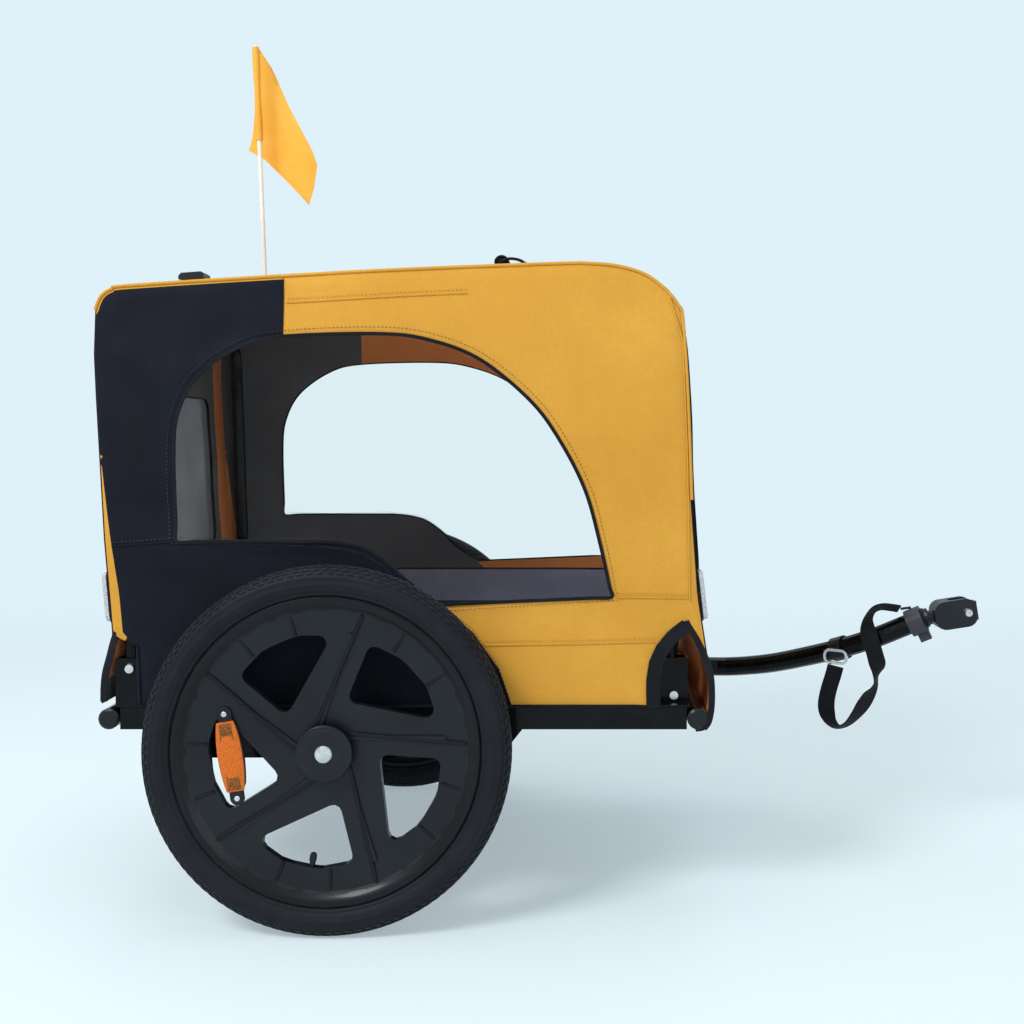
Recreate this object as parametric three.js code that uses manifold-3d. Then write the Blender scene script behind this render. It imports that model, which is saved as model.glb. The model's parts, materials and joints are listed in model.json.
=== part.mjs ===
// A two-wheeled bicycle trailer with a fabric cabin, a swinging tow arm and a folding frame.
// Millimetres, +Z up, +X to the front, the right side of the trailer at -Y.
// The parts are placed with the floor at z = 0 and the wheel axis at x = 0, and the finished
// trailer is then moved so that the middle of its footprint is the origin.

import * as THREE from 'three';
import { mergeVertices } from 'three/addons/utils/BufferGeometryUtils.js';
import Module from 'manifold-3d';

const wasm = await Module();
wasm.setup();

// Clearances
const gap = 0.3;
const hingeGap = 0.5;
const overrun = 2;

// Wheels
const tyreRadius = 247.5;
const tyreWidth = 47;
const tyreWall = 3.5;
const beadRadius = 200;
const flangeRadius = 206;
const flangeHalf = 17;
const rimWellDepth = 9;
const rimInnerRadius = 158;
const webOuterFace = 7;
const webInnerFace = -5;
const hubRadius = 33;
const hubInnerRadius = 26;
const hubInnerFace = -23;
const hubOuterFace = 20;
const hubCapRadius = 38;
const hubCapDepth = 9;
const axleRadius = 6;
const axleHeadRadius = 11.5;
const bearingRadius = 14;
const bearingWidth = 8;
const spokeCount = 5;
const openingInnerRadius = 70;
const openingOuterRadius = 154;
const openingCorner = 11;
const openingStart = 15;
const openingEnd = 68;
const spokeRidgeWidth = 6;
const spokeRidgeHeight = 3;
const reflectorRadius = 136;
const reflectorLength = 124;
const reflectorWidth = 36;
const reflectorDepth = 7;
const reflectorAngle = 185;
const valveRadius = 3;
const valveLength = 34;
const valveAngle = -98.7;
const wheelSegments = 32;

// Frame
const overallWidth = 730;
const railHeight = 30;
const railWidth = 25;
const railTop = 291;
const railWall = 2;
const railSpacing = 540;
const axleHeight = tyreRadius;
const axleBeamRadius = 13;
const gussetThickness = 5;
const gussetHalfTop = 258;
const gussetHalfBottom = 226;
const gussetDepth = 42;
const crossTubeRadius = 14.5;
const crossTubeWall = 2;
const crossTubeWidth = 566;
const crossTubeFront = 501;
const crossTubeRear = -314;
const endCapDepth = 4;
const endCapPlug = 14;
const floorThickness = 4;
const floorDrop = 24;

// Folding arches
const archRadius = 11;
const archWall = 1.6;
const archBend = 60;
const rearPivotX = -286;
const rearPivotZ = 345;
const rearTopX = -304;
const rearTopZ = 855;
const frontPivotX = 470;
const frontPivotZ = 303;
const frontTopX = 422;
const frontTopZ = 859;
const rearArchHalf = 267;
const archNesting = 26;
const postBelowPivot = 12;
const bracketThickness = 3;
const bracketLength = 40;
const bracketAbovePivot = 14;
const frontBracketTop = 355;
const boltRadius = 4;
const boltHeadRadius = 7.5;
const boltHeadDepth = 3.5;

// Cabin fabric
const cabinRear = -336;
const cabinLength = 829;
const cabinBottom = 293;
const cabinHeight = 614;
const cabinHalfWidth = 285;
const fabricThickness = 3;
const filmThickness = 1;
const filmMargin = 9;
const tubHalfWidth = 231;
const tubRear = -264;
const tubFront = 446;
const tubTop = 430;
const frontHemX = 521;
const frontHemZ = 277;
const frontBulge = 31;
const hemClearance = 3;
const panelSeam = 1.2;
const entranceHalf = 214;
const entranceBottom = 452;
const entranceTop = 842;
const entranceCorner = 50;

// Roof roll, reflectors and flag
const rollWidth = 50;
const rollHeight = 29;
const rollLength = 452;
const rollX = 223;
const rollSheet = 2.8;
const rollTurns = 3;
const panelReflectorHeight = 70;
const panelReflectorWidth = 26;
const panelReflectorDepth = 7;
const frontReflectorZ = 446;
const rearReflectorZ = 444;
const poleRadius = 4;
const poleTop = 1401;
const poleBaseX = -226;
const poleTopX = -273;
const poleHolderLength = 24;
const poleHolderBottom = 262;
const poleHolderTop = 290;
const flagSleeve = 176;
const flagReach = 118;
const flagDrop = 290;
const flagThickness = 2;

// Tow arm and hitch
const armRadius = 16.5;
const armWall = 2;
const armPivotX = 546;
const armPivotY = 222;
const armPivotZ = 251;
const armTail = 16;
const armReach = 324;
const armInset = 227;
const armRise = 112;
const clevisThickness = 4;
const clevisHalfWidth = 24;
const pivotBoltRadius = 6;
const collarLength = 30;
const collarInset = 5;
const collarRadius = 22;
const collarLug = 12;
const forkStart = 10;
const forkLength = 68;
const forkHeight = 45;
const forkWidth = 34;
const hitchBoltInset = 15;
const hitchBoltRadius = 5;
const hitchBoltHead = 8;
const couplerWidth = 17;
const couplerHeight = 30;
const strapWidth = 28;
const strapThickness = 2.4;
const ringWidth = 41;
const ringHeight = 26;
const ringWire = 2.2;
const ringTurn = -30;
const wrapShare = 0.71;
const wrapWidth = 24;
const wrapThickness = 2;
const wrapClearance = 1.2;

// Colours
const paint = {
  frame: ['#101113', 0.28, 0.55],
  rubber: ['#26272a', 0.85, 0],
  plastic: ['#18191b', 0.45, 0],
  greyPlastic: ['#3c3d45', 0.5, 0],
  steel: ['#c9cbcd', 0.3, 0.95],
  yellow: ['#d9a343', 0.8, 0],
  black: ['#1d212e', 0.85, 0],
  liner: ['#484c58', 0.85, 0],
  film: ['#b9b4a4', 0.15, 0],
  amber: ['#d96924', 0.25, 0],
  clear: ['#d8dbd8', 0.2, 0],
  pole: ['#e9e6dc', 0.4, 0],
  flag: ['#f3b248', 0.7, 0],
};

// Returns the geometry with shared corners and its faces pointing out.
function closed(geometry) {
  const bare = geometry.clone();
  bare.deleteAttribute('normal');
  bare.deleteAttribute('uv');
  const merged = mergeVertices(bare, gap / 1000);
  const at = merged.attributes.position;
  const order = Array.from(merged.index.array);
  const corner = [new THREE.Vector3(), new THREE.Vector3(), new THREE.Vector3()];
  const kept = [];
  let volume = 0;
  for (let i = 0; i < order.length; i += 3) {
    const [a, b, c] = order.slice(i, i + 3);
    if (a === b || b === c || c === a) continue;
    corner.forEach((point, k) => point.fromBufferAttribute(at, order[i + k]));
    volume += corner[0].dot(corner[1].clone().cross(corner[2]));
    kept.push(a, b, c);
  }
  if (volume < 0) {
    for (let i = 0; i < kept.length; i += 3) {
      [kept[i + 1], kept[i + 2]] = [kept[i + 2], kept[i + 1]];
    }
  }
  merged.setIndex(kept);
  return merged;
}

// Booleans on closed geometries
function toSolid(geometry) {
  const tidy = closed(geometry);
  const mesh = new wasm.Mesh({
    numProp: 3,
    vertProperties: new Float32Array(tidy.attributes.position.array),
    triVerts: new Uint32Array(tidy.index.array),
  });
  return new wasm.Manifold(mesh);
}

function fromSolid(solid) {
  const mesh = solid.getMesh();
  const geometry = new THREE.BufferGeometry();
  geometry.setAttribute('position', new THREE.BufferAttribute(new Float32Array(mesh.vertProperties), 3));
  geometry.setIndex(Array.from(mesh.triVerts));
  return geometry;
}

const join = (first, ...others) =>
  fromSolid(others.reduce((sum, other) => sum.add(toSolid(other)), toSolid(first)));

const cut = (first, ...others) =>
  fromSolid(others.reduce((sum, other) => sum.subtract(toSolid(other)), toSolid(first)));

// A box given by its lowest and highest corners.
function block(low, high) {
  const size = high.map((value, i) => value - low[i]);
  return new THREE.BoxGeometry(...size).translate(...low.map((value, i) => value + size[i] / 2));
}

// A round bar from one point to another.
function bar(radius, from, to, sides = 16) {
  const start = new THREE.Vector3(...from);
  const run = new THREE.Vector3(...to).sub(start);
  const geometry = new THREE.CylinderGeometry(radius, radius, run.length(), sides);
  geometry.translate(0, run.length() / 2, 0);
  const turn = new THREE.Quaternion().setFromUnitVectors(new THREE.Vector3(0, 1, 0), run.normalize());
  return geometry.applyQuaternion(turn).translate(...from);
}

// An outline in the X-Z plane, extruded across Y between two values.
function plate(points, yFrom, yTo, holes = []) {
  const shape = new THREE.Shape(points.map(([x, z]) => new THREE.Vector2(x, z)));
  shape.holes = holes.map((hole) => new THREE.Path(hole.map(([x, z]) => new THREE.Vector2(x, z))));
  const geometry = new THREE.ExtrudeGeometry(shape, { depth: yTo - yFrom, bevelEnabled: false });
  return geometry.rotateX(Math.PI / 2).translate(0, yTo, 0);
}

// A profile of [radius, outward distance] turned round the wheel axis; outward is -Y.
function turned(profile, segments = wheelSegments) {
  return new THREE.LatheGeometry(profile.map(([r, a]) => new THREE.Vector2(r, -a)), segments);
}

// Replaces each inner corner of a path by an arc.
function rounded(corners, radius, steps = 5) {
  const path = [corners[0]];
  for (let i = 1; i < corners.length - 1; i += 1) {
    const toBefore = corners[i - 1].clone().sub(corners[i]).normalize();
    const toAfter = corners[i + 1].clone().sub(corners[i]).normalize();
    const half = toBefore.angleTo(toAfter) / 2;
    const centre = toBefore.clone().add(toAfter).normalize()
      .multiplyScalar(radius / Math.sin(half)).add(corners[i]);
    const start = corners[i].clone().addScaledVector(toBefore, radius / Math.tan(half)).sub(centre);
    const end = corners[i].clone().addScaledVector(toAfter, radius / Math.tan(half)).sub(centre);
    const sweep = start.angleTo(end);
    for (let k = 0; k <= steps; k += 1) {
      const share = k / steps;
      const point = start.clone().multiplyScalar(Math.sin((1 - share) * sweep) / Math.sin(sweep))
        .addScaledVector(end, Math.sin(share * sweep) / Math.sin(sweep)).add(centre);
      path.push(point);
    }
  }
  path.push(corners[corners.length - 1]);
  return path;
}

// Points of a closed polygon with every corner rounded, as [x, z] pairs.
function roundedPolygon(points, radius, steps = 4) {
  const corners = points.map(([x, z]) => new THREE.Vector3(x, 0, z));
  const count = corners.length;
  return corners.flatMap((corner, i) => {
    const trio = [corners[(i + count - 1) % count], corner, corners[(i + 1) % count]];
    return rounded(trio, radius, steps).slice(1, -1).map((p) => [p.x, p.z]);
  });
}

// Sweeps closed sections along points. sections(i, across, up) lists the points of the
// section in order round the run; a second list makes a bore.
function sweep(points, sections, firstAcross) {
  const rings = [];
  let across = firstAcross.clone();
  const tangents = points.map((point, i) => {
    const before = points[Math.max(i - 1, 0)];
    const after = points[Math.min(i + 1, points.length - 1)];
    return after.clone().sub(before).normalize();
  });
  points.forEach((point, i) => {
    across = across.clone().addScaledVector(tangents[i], -across.dot(tangents[i])).normalize();
    const up = tangents[i].clone().cross(across);
    rings.push(sections(i, across, up).map((loop) => loop.map((offset) => offset.clone().add(point))));
  });
  const loops = rings[0].length;
  const sides = rings[0][0].length;
  const positions = rings.flat(2).flatMap((p) => [p.x, p.y, p.z]);
  const index = [];
  const at = (i, loop, k) => (i * loops + loop) * sides + (k % sides);
  const quad = (a, b, c, d) => index.push(a, b, c, a, c, d);
  const last = rings.length - 1;
  for (let k = 0; k < sides; k += 1) {
    for (let i = 0; i < last; i += 1) {
      quad(at(i, 0, k), at(i, 0, k + 1), at(i + 1, 0, k + 1), at(i + 1, 0, k));
      if (loops > 1) quad(at(i, 1, k), at(i + 1, 1, k), at(i + 1, 1, k + 1), at(i, 1, k + 1));
    }
    if (loops > 1) {
      quad(at(0, 0, k), at(0, 1, k), at(0, 1, k + 1), at(0, 0, k + 1));
      quad(at(last, 0, k), at(last, 0, k + 1), at(last, 1, k + 1), at(last, 1, k));
    } else if (k > 0 && k < sides - 1) {
      index.push(at(0, 0, 0), at(0, 0, k + 1), at(0, 0, k));
      index.push(at(last, 0, 0), at(last, 0, k), at(last, 0, k + 1));
    }
  }
  const geometry = new THREE.BufferGeometry();
  geometry.setAttribute('position', new THREE.Float32BufferAttribute(positions, 3));
  geometry.setIndex(index);
  return geometry;
}

// A tube with a bore along a list of points.
function tubeAlong(points, radius, wall, firstAcross, sides = 12) {
  const circle = (r, across, up) => Array.from({ length: sides }, (_, k) => {
    const angle = (k / sides) * 2 * Math.PI;
    return across.clone().multiplyScalar(r * Math.cos(angle)).addScaledVector(up, r * Math.sin(angle));
  });
  const rings = (i, across, up) => [circle(radius, across, up), circle(radius - wall, across, up)];
  return sweep(points, rings, firstAcross);
}

// A thin sheet from a surface of two shares, thickened about its middle.
function sheet(surface, across, along, thickness) {
  const step = 1 / (2 * along);
  const normalAt = (u, v) => {
    const du = surface(u + step, v).sub(surface(u - step, v));
    const dv = surface(u, v + step).sub(surface(u, v - step));
    return du.cross(dv).normalize();
  };
  const positions = [];
  for (const side of [1, -1]) {
    for (let i = 0; i <= across; i += 1) {
      for (let j = 0; j <= along; j += 1) {
        const u = i / across;
        const v = j / along;
        const point = surface(u, v).addScaledVector(normalAt(u, v), (side * thickness) / 2);
        positions.push(point.x, point.y, point.z);
      }
    }
  }
  const face = (across + 1) * (along + 1);
  const at = (side, i, j) => side * face + i * (along + 1) + j;
  const index = [];
  const quad = (a, b, c, d) => index.push(a, b, c, a, c, d);
  for (let i = 0; i < across; i += 1) {
    for (let j = 0; j < along; j += 1) {
      quad(at(0, i, j), at(0, i + 1, j), at(0, i + 1, j + 1), at(0, i, j + 1));
      quad(at(1, i, j), at(1, i, j + 1), at(1, i + 1, j + 1), at(1, i + 1, j));
    }
    quad(at(0, i, 0), at(1, i, 0), at(1, i + 1, 0), at(0, i + 1, 0));
    quad(at(0, i, along), at(0, i + 1, along), at(1, i + 1, along), at(1, i, along));
  }
  for (let j = 0; j < along; j += 1) {
    quad(at(0, 0, j), at(0, 0, j + 1), at(1, 0, j + 1), at(1, 0, j));
    quad(at(0, across, j), at(1, across, j), at(1, across, j + 1), at(0, across, j + 1));
  }
  const geometry = new THREE.BufferGeometry();
  geometry.setAttribute('position', new THREE.Float32BufferAttribute(positions, 3));
  geometry.setIndex(index);
  return geometry;
}

const trailer = new THREE.Group();
const sides = [['right', -1], ['left', 1]];

function add(name, geometry, finish, group = trailer) {
  const [color, roughness, metalness] = paint[finish];
  const tidy = closed(geometry);
  tidy.computeVertexNormals();
  const mesh = new THREE.Mesh(tidy, new THREE.MeshStandardMaterial({ color, roughness, metalness }));
  mesh.name = name;
  group.add(mesh);
}

const mirrored = (geometry, side) => geometry.clone().scale(1, side, 1);

// Wheels. Each one is built about its own axis with its outer face towards -Y.
const tyreCentreY = overallWidth / 2 - hubOuterFace - hubCapDepth - gap;
const polar = (radius, degrees) => [
  radius * Math.cos(THREE.MathUtils.degToRad(degrees)),
  radius * Math.sin(THREE.MathUtils.degToRad(degrees)),
];

function tyre() {
  const half = tyreWidth / 2;
  const shoulder = tyreRadius - half * 0.45;
  const belly = (tyreRadius + flangeRadius) / 2;
  const lip = flangeHalf - tyreWall - gap;
  const outer = [
    [beadRadius + gap, lip], [flangeRadius + gap, lip], [flangeRadius + tyreWall, flangeHalf],
    [belly, half], [shoulder, half * 0.94], [tyreRadius - tyreWall * 0.5, half * 0.5], [tyreRadius, 0],
  ];
  const inner = [
    [tyreRadius - tyreWall * 1.6, 0], [shoulder, half - tyreWall * 1.9], [belly, half - tyreWall],
    [flangeRadius + tyreWall, flangeHalf - tyreWall * 1.5], [beadRadius + gap, lip - tyreWall],
  ];
  const mirror = (points) => points.map(([r, a]) => [r, -a]);
  const loop = [
    ...outer, ...mirror(outer).reverse().slice(1),
    ...mirror(inner).reverse(), ...inner.slice(1),
  ];
  return turned([...loop, loop[0]]);
}

function innerTube() {
  const outer = tyreRadius - tyreWall * 1.6 - gap;
  const inner = beadRadius + tyreWall;
  const half = tyreWidth / 2 - tyreWall * 1.5;
  const middle = (outer + inner) / 2;
  const ring = [
    [outer, 0], [outer - half * 0.35, half * 0.62], [middle, half * 0.86], [inner, half * 0.4],
    [inner, -half * 0.4], [middle, -half * 0.86], [outer - half * 0.35, -half * 0.62], [outer, 0],
  ];
  const stem = [inner + tyreWall, inner - valveLength].map((radius) => {
    const [x, z] = polar(radius, valveAngle);
    return [x, 0, z];
  });
  return join(turned(ring), bar(valveRadius, ...stem, 8));
}

// One opening between two spokes: a radial side, an arc and a slanted side.
function spokeOpening(turn) {
  const corners = [
    polar(openingInnerRadius, openingEnd + turn),
    polar(openingOuterRadius, openingStart + turn),
    polar(openingOuterRadius * 1.03, (openingStart * 2 + openingEnd) / 3 + turn),
    polar(openingOuterRadius * 1.03, (openingStart + openingEnd * 2) / 3 + turn),
    polar(openingOuterRadius, openingEnd + turn),
  ];
  return roundedPolygon(corners, openingCorner, 3);
}

function wheelDisc() {
  const well = beadRadius - rimWellDepth;
  const bead = flangeHalf - tyreWall;
  const rim = [
    [flangeRadius, flangeHalf], [flangeRadius, bead + gap], [beadRadius, bead],
    [beadRadius, rimWellDepth], [well, rimWellDepth * 0.6],
    [well, -rimWellDepth * 0.6], [beadRadius, -rimWellDepth], [beadRadius, -bead],
    [flangeRadius, -bead - gap], [flangeRadius, -flangeHalf], [flangeRadius - tyreWall, -flangeHalf],
    [well - tyreWall, -rimWellDepth], [rimInnerRadius, webInnerFace],
    [rimInnerRadius, webOuterFace], [well - tyreWall, rimWellDepth],
    [flangeRadius - tyreWall, flangeHalf], [flangeRadius, flangeHalf],
  ];
  const boreMouth = bearingRadius + gap;
  const boreCore = axleRadius + bearingWidth / 2;
  const hub = [
    [boreMouth, hubInnerFace], [hubInnerRadius, hubInnerFace], [hubRadius, webInnerFace],
    [hubRadius, hubOuterFace], [boreMouth, hubOuterFace], [boreMouth, hubOuterFace - bearingWidth],
    [boreCore, hubOuterFace - bearingWidth], [boreCore, hubInnerFace + bearingWidth],
    [boreMouth, hubInnerFace + bearingWidth], [boreMouth, hubInnerFace],
  ];
  const circle = (radius) => Array.from({ length: wheelSegments }, (_, k) =>
    polar(radius, (k * 360) / wheelSegments));
  const openings = Array.from({ length: spokeCount }, (_, k) => spokeOpening((k * 360) / spokeCount));
  const web = plate(circle(rimInnerRadius + overrun), -webOuterFace, -webInnerFace,
    [...openings, circle(hubRadius - overrun)]);
  const ridges = Array.from({ length: spokeCount }, (_, k) => {
    const turn = (k * 360) / spokeCount;
    const [x0, z0] = polar(hubRadius - overrun, 36 + turn);
    const [x1, z1] = polar(rimInnerRadius + overrun, 6 + turn);
    const run = Math.hypot(x1 - x0, z1 - z0);
    const ridge = block([0, -webOuterFace - spokeRidgeHeight, -spokeRidgeWidth / 2],
      [run, -webOuterFace + overrun, spokeRidgeWidth / 2]);
    return ridge.rotateY(-Math.atan2(z1 - z0, x1 - x0)).translate(x0, 0, z0);
  });
  const [vx, vz] = polar(well + rimWellDepth, valveAngle);
  const [wx, wz] = polar(rimInnerRadius - overrun, valveAngle);
  const valveHole = bar(valveRadius + gap, [vx, 0, vz], [wx, 0, wz], 12);
  return cut(join(turned(rim), web, turned(hub), ...ridges), valveHole);
}

function hubCap() {
  const back = hubOuterFace + gap;
  const front = back + hubCapDepth - tyreWall;
  const bore = axleRadius + gap;
  return turned([
    [bore, back], [hubCapRadius, back], [hubCapRadius, back + hubCapDepth * 0.3],
    [hubCapRadius * 0.85, front], [bore, front], [bore, back],
  ], 24);
}

function wheelAxle() {
  const headBack = hubOuterFace + gap + hubCapDepth - tyreWall + gap;
  const headFront = hubOuterFace + hubCapDepth + gap;
  const inboard = -(tyreCentreY - railSpacing / 2 + railWidth / 2 + 2 * bearingWidth);
  return turned([
    [0, inboard], [axleRadius, inboard], [axleRadius, headBack], [axleHeadRadius, headBack],
    [axleHeadRadius * 0.9, (headBack + headFront) / 2], [axleHeadRadius * 0.5, headFront], [0, headFront],
  ], 16);
}

function bearing(face) {
  const bore = axleRadius + gap;
  return turned([[bore, face], [bearingRadius, face], [bearingRadius, face + bearingWidth],
    [bore, face + bearingWidth], [bore, face]], 16);
}

// A long lens with pointed ends on a backing that reaches the spokes at both ends.
function wheelReflector() {
  const half = reflectorLength / 2;
  const outline = [
    [-half, 0], [-half * 0.8, reflectorWidth * 0.34], [-half * 0.3, reflectorWidth / 2],
    [half * 0.3, reflectorWidth / 2], [half * 0.8, reflectorWidth * 0.34], [half, 0],
    [half * 0.8, -reflectorWidth * 0.34], [half * 0.3, -reflectorWidth / 2],
    [-half * 0.3, -reflectorWidth / 2], [-half * 0.8, -reflectorWidth * 0.34],
  ];
  const back = -webOuterFace - gap;
  const lens = plate(outline, back - reflectorDepth, back);
  const [x, z] = polar(reflectorRadius, reflectorAngle);
  return lens.rotateY(-THREE.MathUtils.degToRad(reflectorAngle + 90)).translate(x, 0, z);
}

for (const [label, side] of sides) {
  const wheel = new THREE.Group();
  wheel.position.set(0, side * tyreCentreY, axleHeight);
  wheel.rotation.z = side > 0 ? Math.PI : 0;
  trailer.add(wheel);
  add(`tyre_${label}`, tyre(), 'rubber', wheel);
  add(`inner_tube_${label}`, innerTube(), 'rubber', wheel);
  add(`wheel_disc_${label}`, wheelDisc(), 'plastic', wheel);
  add(`hub_cap_${label}`, hubCap(), 'plastic', wheel);
  add(`bearing_outer_${label}`, bearing(hubOuterFace - bearingWidth + gap), 'steel', wheel);
  add(`bearing_inner_${label}`, bearing(hubInnerFace - gap), 'steel', wheel);
  add(`wheel_axle_${label}`, wheelAxle(), 'steel', wheel);
  add(`wheel_reflector_${label}`, wheelReflector(), 'amber', wheel);
}

// Floor frame: two side rails with a welded axle plate, two cross tubes with end caps,
// the axle beam and the floor board.
const railCentreY = railSpacing / 2;
const railBottom = railTop - railHeight;
const crossTubeZ = railTop - railHeight / 2;
const railRear = crossTubeRear + crossTubeRadius + gap;
const railFront = crossTubeFront - crossTubeRadius - gap;

function rail() {
  const outer = block([railRear, railCentreY - railWidth / 2, railBottom],
    [railFront, railCentreY + railWidth / 2, railTop]);
  const bore = block([railRear - overrun, railCentreY - railWidth / 2 + railWall, railBottom + railWall],
    [railFront + overrun, railCentreY + railWidth / 2 - railWall, railTop - railWall]);
  const low = railBottom - gussetDepth;
  const gusset = plate([
    [-gussetHalfTop, railBottom + railWall / 2], [-gussetHalfTop, railBottom - railWall],
    [-gussetHalfBottom, low], [gussetHalfBottom, low],
    [gussetHalfTop, railBottom - railWall], [gussetHalfTop, railBottom + railWall / 2],
  ], railCentreY - gussetThickness / 2, railCentreY + gussetThickness / 2);
  const hole = bar(axleBeamRadius + gap,
    [0, railCentreY - railWidth, axleHeight], [0, railCentreY + railWidth, axleHeight], 24);
  return cut(join(cut(outer, bore), gusset), hole);
}

function crossTube(x) {
  const reach = crossTubeWidth / 2;
  const run = [new THREE.Vector3(x, -reach, crossTubeZ), new THREE.Vector3(x, reach, crossTubeZ)];
  return tubeAlong(run, crossTubeRadius, crossTubeWall, new THREE.Vector3(0, 0, 1), 20);
}

function endCap(x) {
  const face = crossTubeWidth / 2 + gap;
  const plug = crossTubeRadius - crossTubeWall - gap;
  const profile = [
    [0, face - endCapPlug], [plug, face - endCapPlug], [plug, face], [crossTubeRadius, face],
    [crossTubeRadius, face + endCapDepth * 0.5], [crossTubeRadius * 0.8, face + endCapDepth],
    [0, face + endCapDepth],
  ];
  return turned(profile, 16).translate(x, 0, crossTubeZ);
}

function axleBeam() {
  const reach = railCentreY + railWidth / 2;
  const beam = bar(axleBeamRadius, [0, -reach, axleHeight], [0, reach, axleHeight], 24);
  const bore = bar(axleRadius + gap, [0, -reach - overrun, axleHeight], [0, reach + overrun, axleHeight], 20);
  return cut(beam, bore);
}

// Flag pole, in a socket welded to the outer face of the left rail.
const poleY = railCentreY + railWidth / 2 + 2 * poleRadius;
const poleLean = (poleTopX - poleBaseX) / (poleTop - poleHolderBottom);
const poleAt = (z) => poleBaseX + poleLean * (z - poleHolderBottom);
const poleFoot = poleHolderBottom + poleRadius;

function railWithSocket() {
  const socket = block(
    [poleBaseX - poleHolderLength / 2, railCentreY + railWidth / 2 - railWall / 2, poleHolderBottom],
    [poleBaseX + poleHolderLength / 2, poleY + 2 * poleRadius, poleHolderTop],
  );
  const bore = bar(poleRadius + gap, [poleAt(poleFoot - gap), poleY, poleFoot - gap],
    [poleAt(poleHolderTop + overrun), poleY, poleHolderTop + overrun]);
  return cut(join(rail(), socket), bore);
}

add('rail_right', mirrored(rail(), -1), 'frame');
add('rail_left', railWithSocket(), 'frame');
for (const [label, side] of sides) {
  add(`end_cap_front_${label}`, mirrored(endCap(crossTubeFront), -side), 'plastic');
  add(`end_cap_rear_${label}`, mirrored(endCap(crossTubeRear), -side), 'plastic');
}
add('cross_tube_front', crossTube(crossTubeFront), 'frame');
add('cross_tube_rear', crossTube(crossTubeRear), 'frame');
add('axle_beam', axleBeam(), 'frame');

const floorTop = railTop - floorDrop;
const floorHalf = railCentreY - railWidth / 2 - gap;
add('floor_board', block([railRear, -floorHalf, floorTop - floorThickness],
  [railFront, floorHalf, floorTop]), 'black');

// Folding arches on bolts through U-shaped brackets. The front arch is the narrower one, so
// that it passes inside the rear arch as both fold down.
const frontArchHalf = rearArchHalf - archNesting;

function arch(pivotX, pivotZ, topX, topZ, half) {
  const rise = new THREE.Vector2(topX - pivotX, topZ - pivotZ).normalize();
  const footX = pivotX - rise.x * postBelowPivot;
  const footZ = pivotZ - rise.y * postBelowPivot;
  const corners = [
    new THREE.Vector3(footX, -half, footZ), new THREE.Vector3(topX, -half, topZ),
    new THREE.Vector3(topX, half, topZ), new THREE.Vector3(footX, half, footZ),
  ];
  const tube = tubeAlong(rounded(corners, archBend, 6), archRadius, archWall, new THREE.Vector3(1, 0, 0));
  const reach = half + 2 * archRadius;
  const bore = bar(boltRadius + gap, [pivotX, -reach, pivotZ], [pivotX, reach, pivotZ], 12);
  return cut(tube, bore);
}

add('rear_arch', arch(rearPivotX, rearPivotZ, rearTopX, rearTopZ, rearArchHalf), 'frame');
add('front_arch', arch(frontPivotX, frontPivotZ, frontTopX, frontTopZ, frontArchHalf), 'frame');

const cheekInner = archRadius + hingeGap;
const cheekOuter = cheekInner + bracketThickness;

// Two cheeks and an end web; the foot stands on the rail.
function bracket(pivotX, pivotZ, half, webSide, bottom, top) {
  const webFace = pivotX + (webSide * bracketLength) / 2;
  const low = pivotX - bracketLength / 2;
  const high = pivotX + bracketLength / 2;
  const parts = [-1, 1].map((hand) => block(
    [low, half + Math.min(hand * cheekInner, hand * cheekOuter), bottom],
    [high, half + Math.max(hand * cheekInner, hand * cheekOuter), top],
  ));
  parts.push(block([Math.min(webFace, webFace - webSide * bracketThickness), half - cheekOuter, bottom],
    [Math.max(webFace, webFace - webSide * bracketThickness), half + cheekOuter, top]));
  const footInner = Math.max(half - cheekOuter, railCentreY - railWidth / 2 - bracketThickness);
  parts.push(block([low, footInner, railTop + gap],
    [high, railCentreY + railWidth / 2 - hingeGap * 2, railTop + gap + bracketThickness]));
  const hole = bar(boltRadius + gap, [pivotX, half - 2 * cheekOuter, pivotZ],
    [pivotX, half + 2 * cheekOuter, pivotZ], 12);
  return cut(join(...parts), hole);
}

function hingeBolt(pivotX, pivotZ, half) {
  const inner = half - cheekOuter - gap;
  const face = half + cheekOuter + gap;
  const profile = [
    [0, inner], [boltRadius, inner], [boltRadius, face], [boltHeadRadius, face],
    [boltHeadRadius * 0.8, face + boltHeadDepth], [0, face + boltHeadDepth],
  ];
  return turned(profile, 16).translate(pivotX, 0, pivotZ);
}

for (const [label, side] of sides) {
  const rearBracket = bracket(rearPivotX, rearPivotZ, rearArchHalf, -1,
    railTop + gap, rearPivotZ + bracketAbovePivot);
  const frontBracket = bracket(frontPivotX, frontPivotZ, frontArchHalf, 1,
    railTop - bracketThickness, frontBracketTop);
  add(`hinge_bracket_rear_${label}`, mirrored(rearBracket, side), 'plastic');
  add(`hinge_bracket_front_${label}`, mirrored(frontBracket, side), 'plastic');
  add(`hinge_bolt_rear_${label}`, mirrored(hingeBolt(rearPivotX, rearPivotZ, rearArchHalf), -side), 'steel');
  add(`hinge_bolt_front_${label}`, mirrored(hingeBolt(frontPivotX, frontPivotZ, frontArchHalf), -side), 'steel');
}

// Cabin fabric. Outlines are shares of the cabin's length and height.
const onCabin = ([alongShare, upShare]) => [
  cabinRear + alongShare * cabinLength, cabinBottom + upShare * cabinHeight,
];

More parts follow.
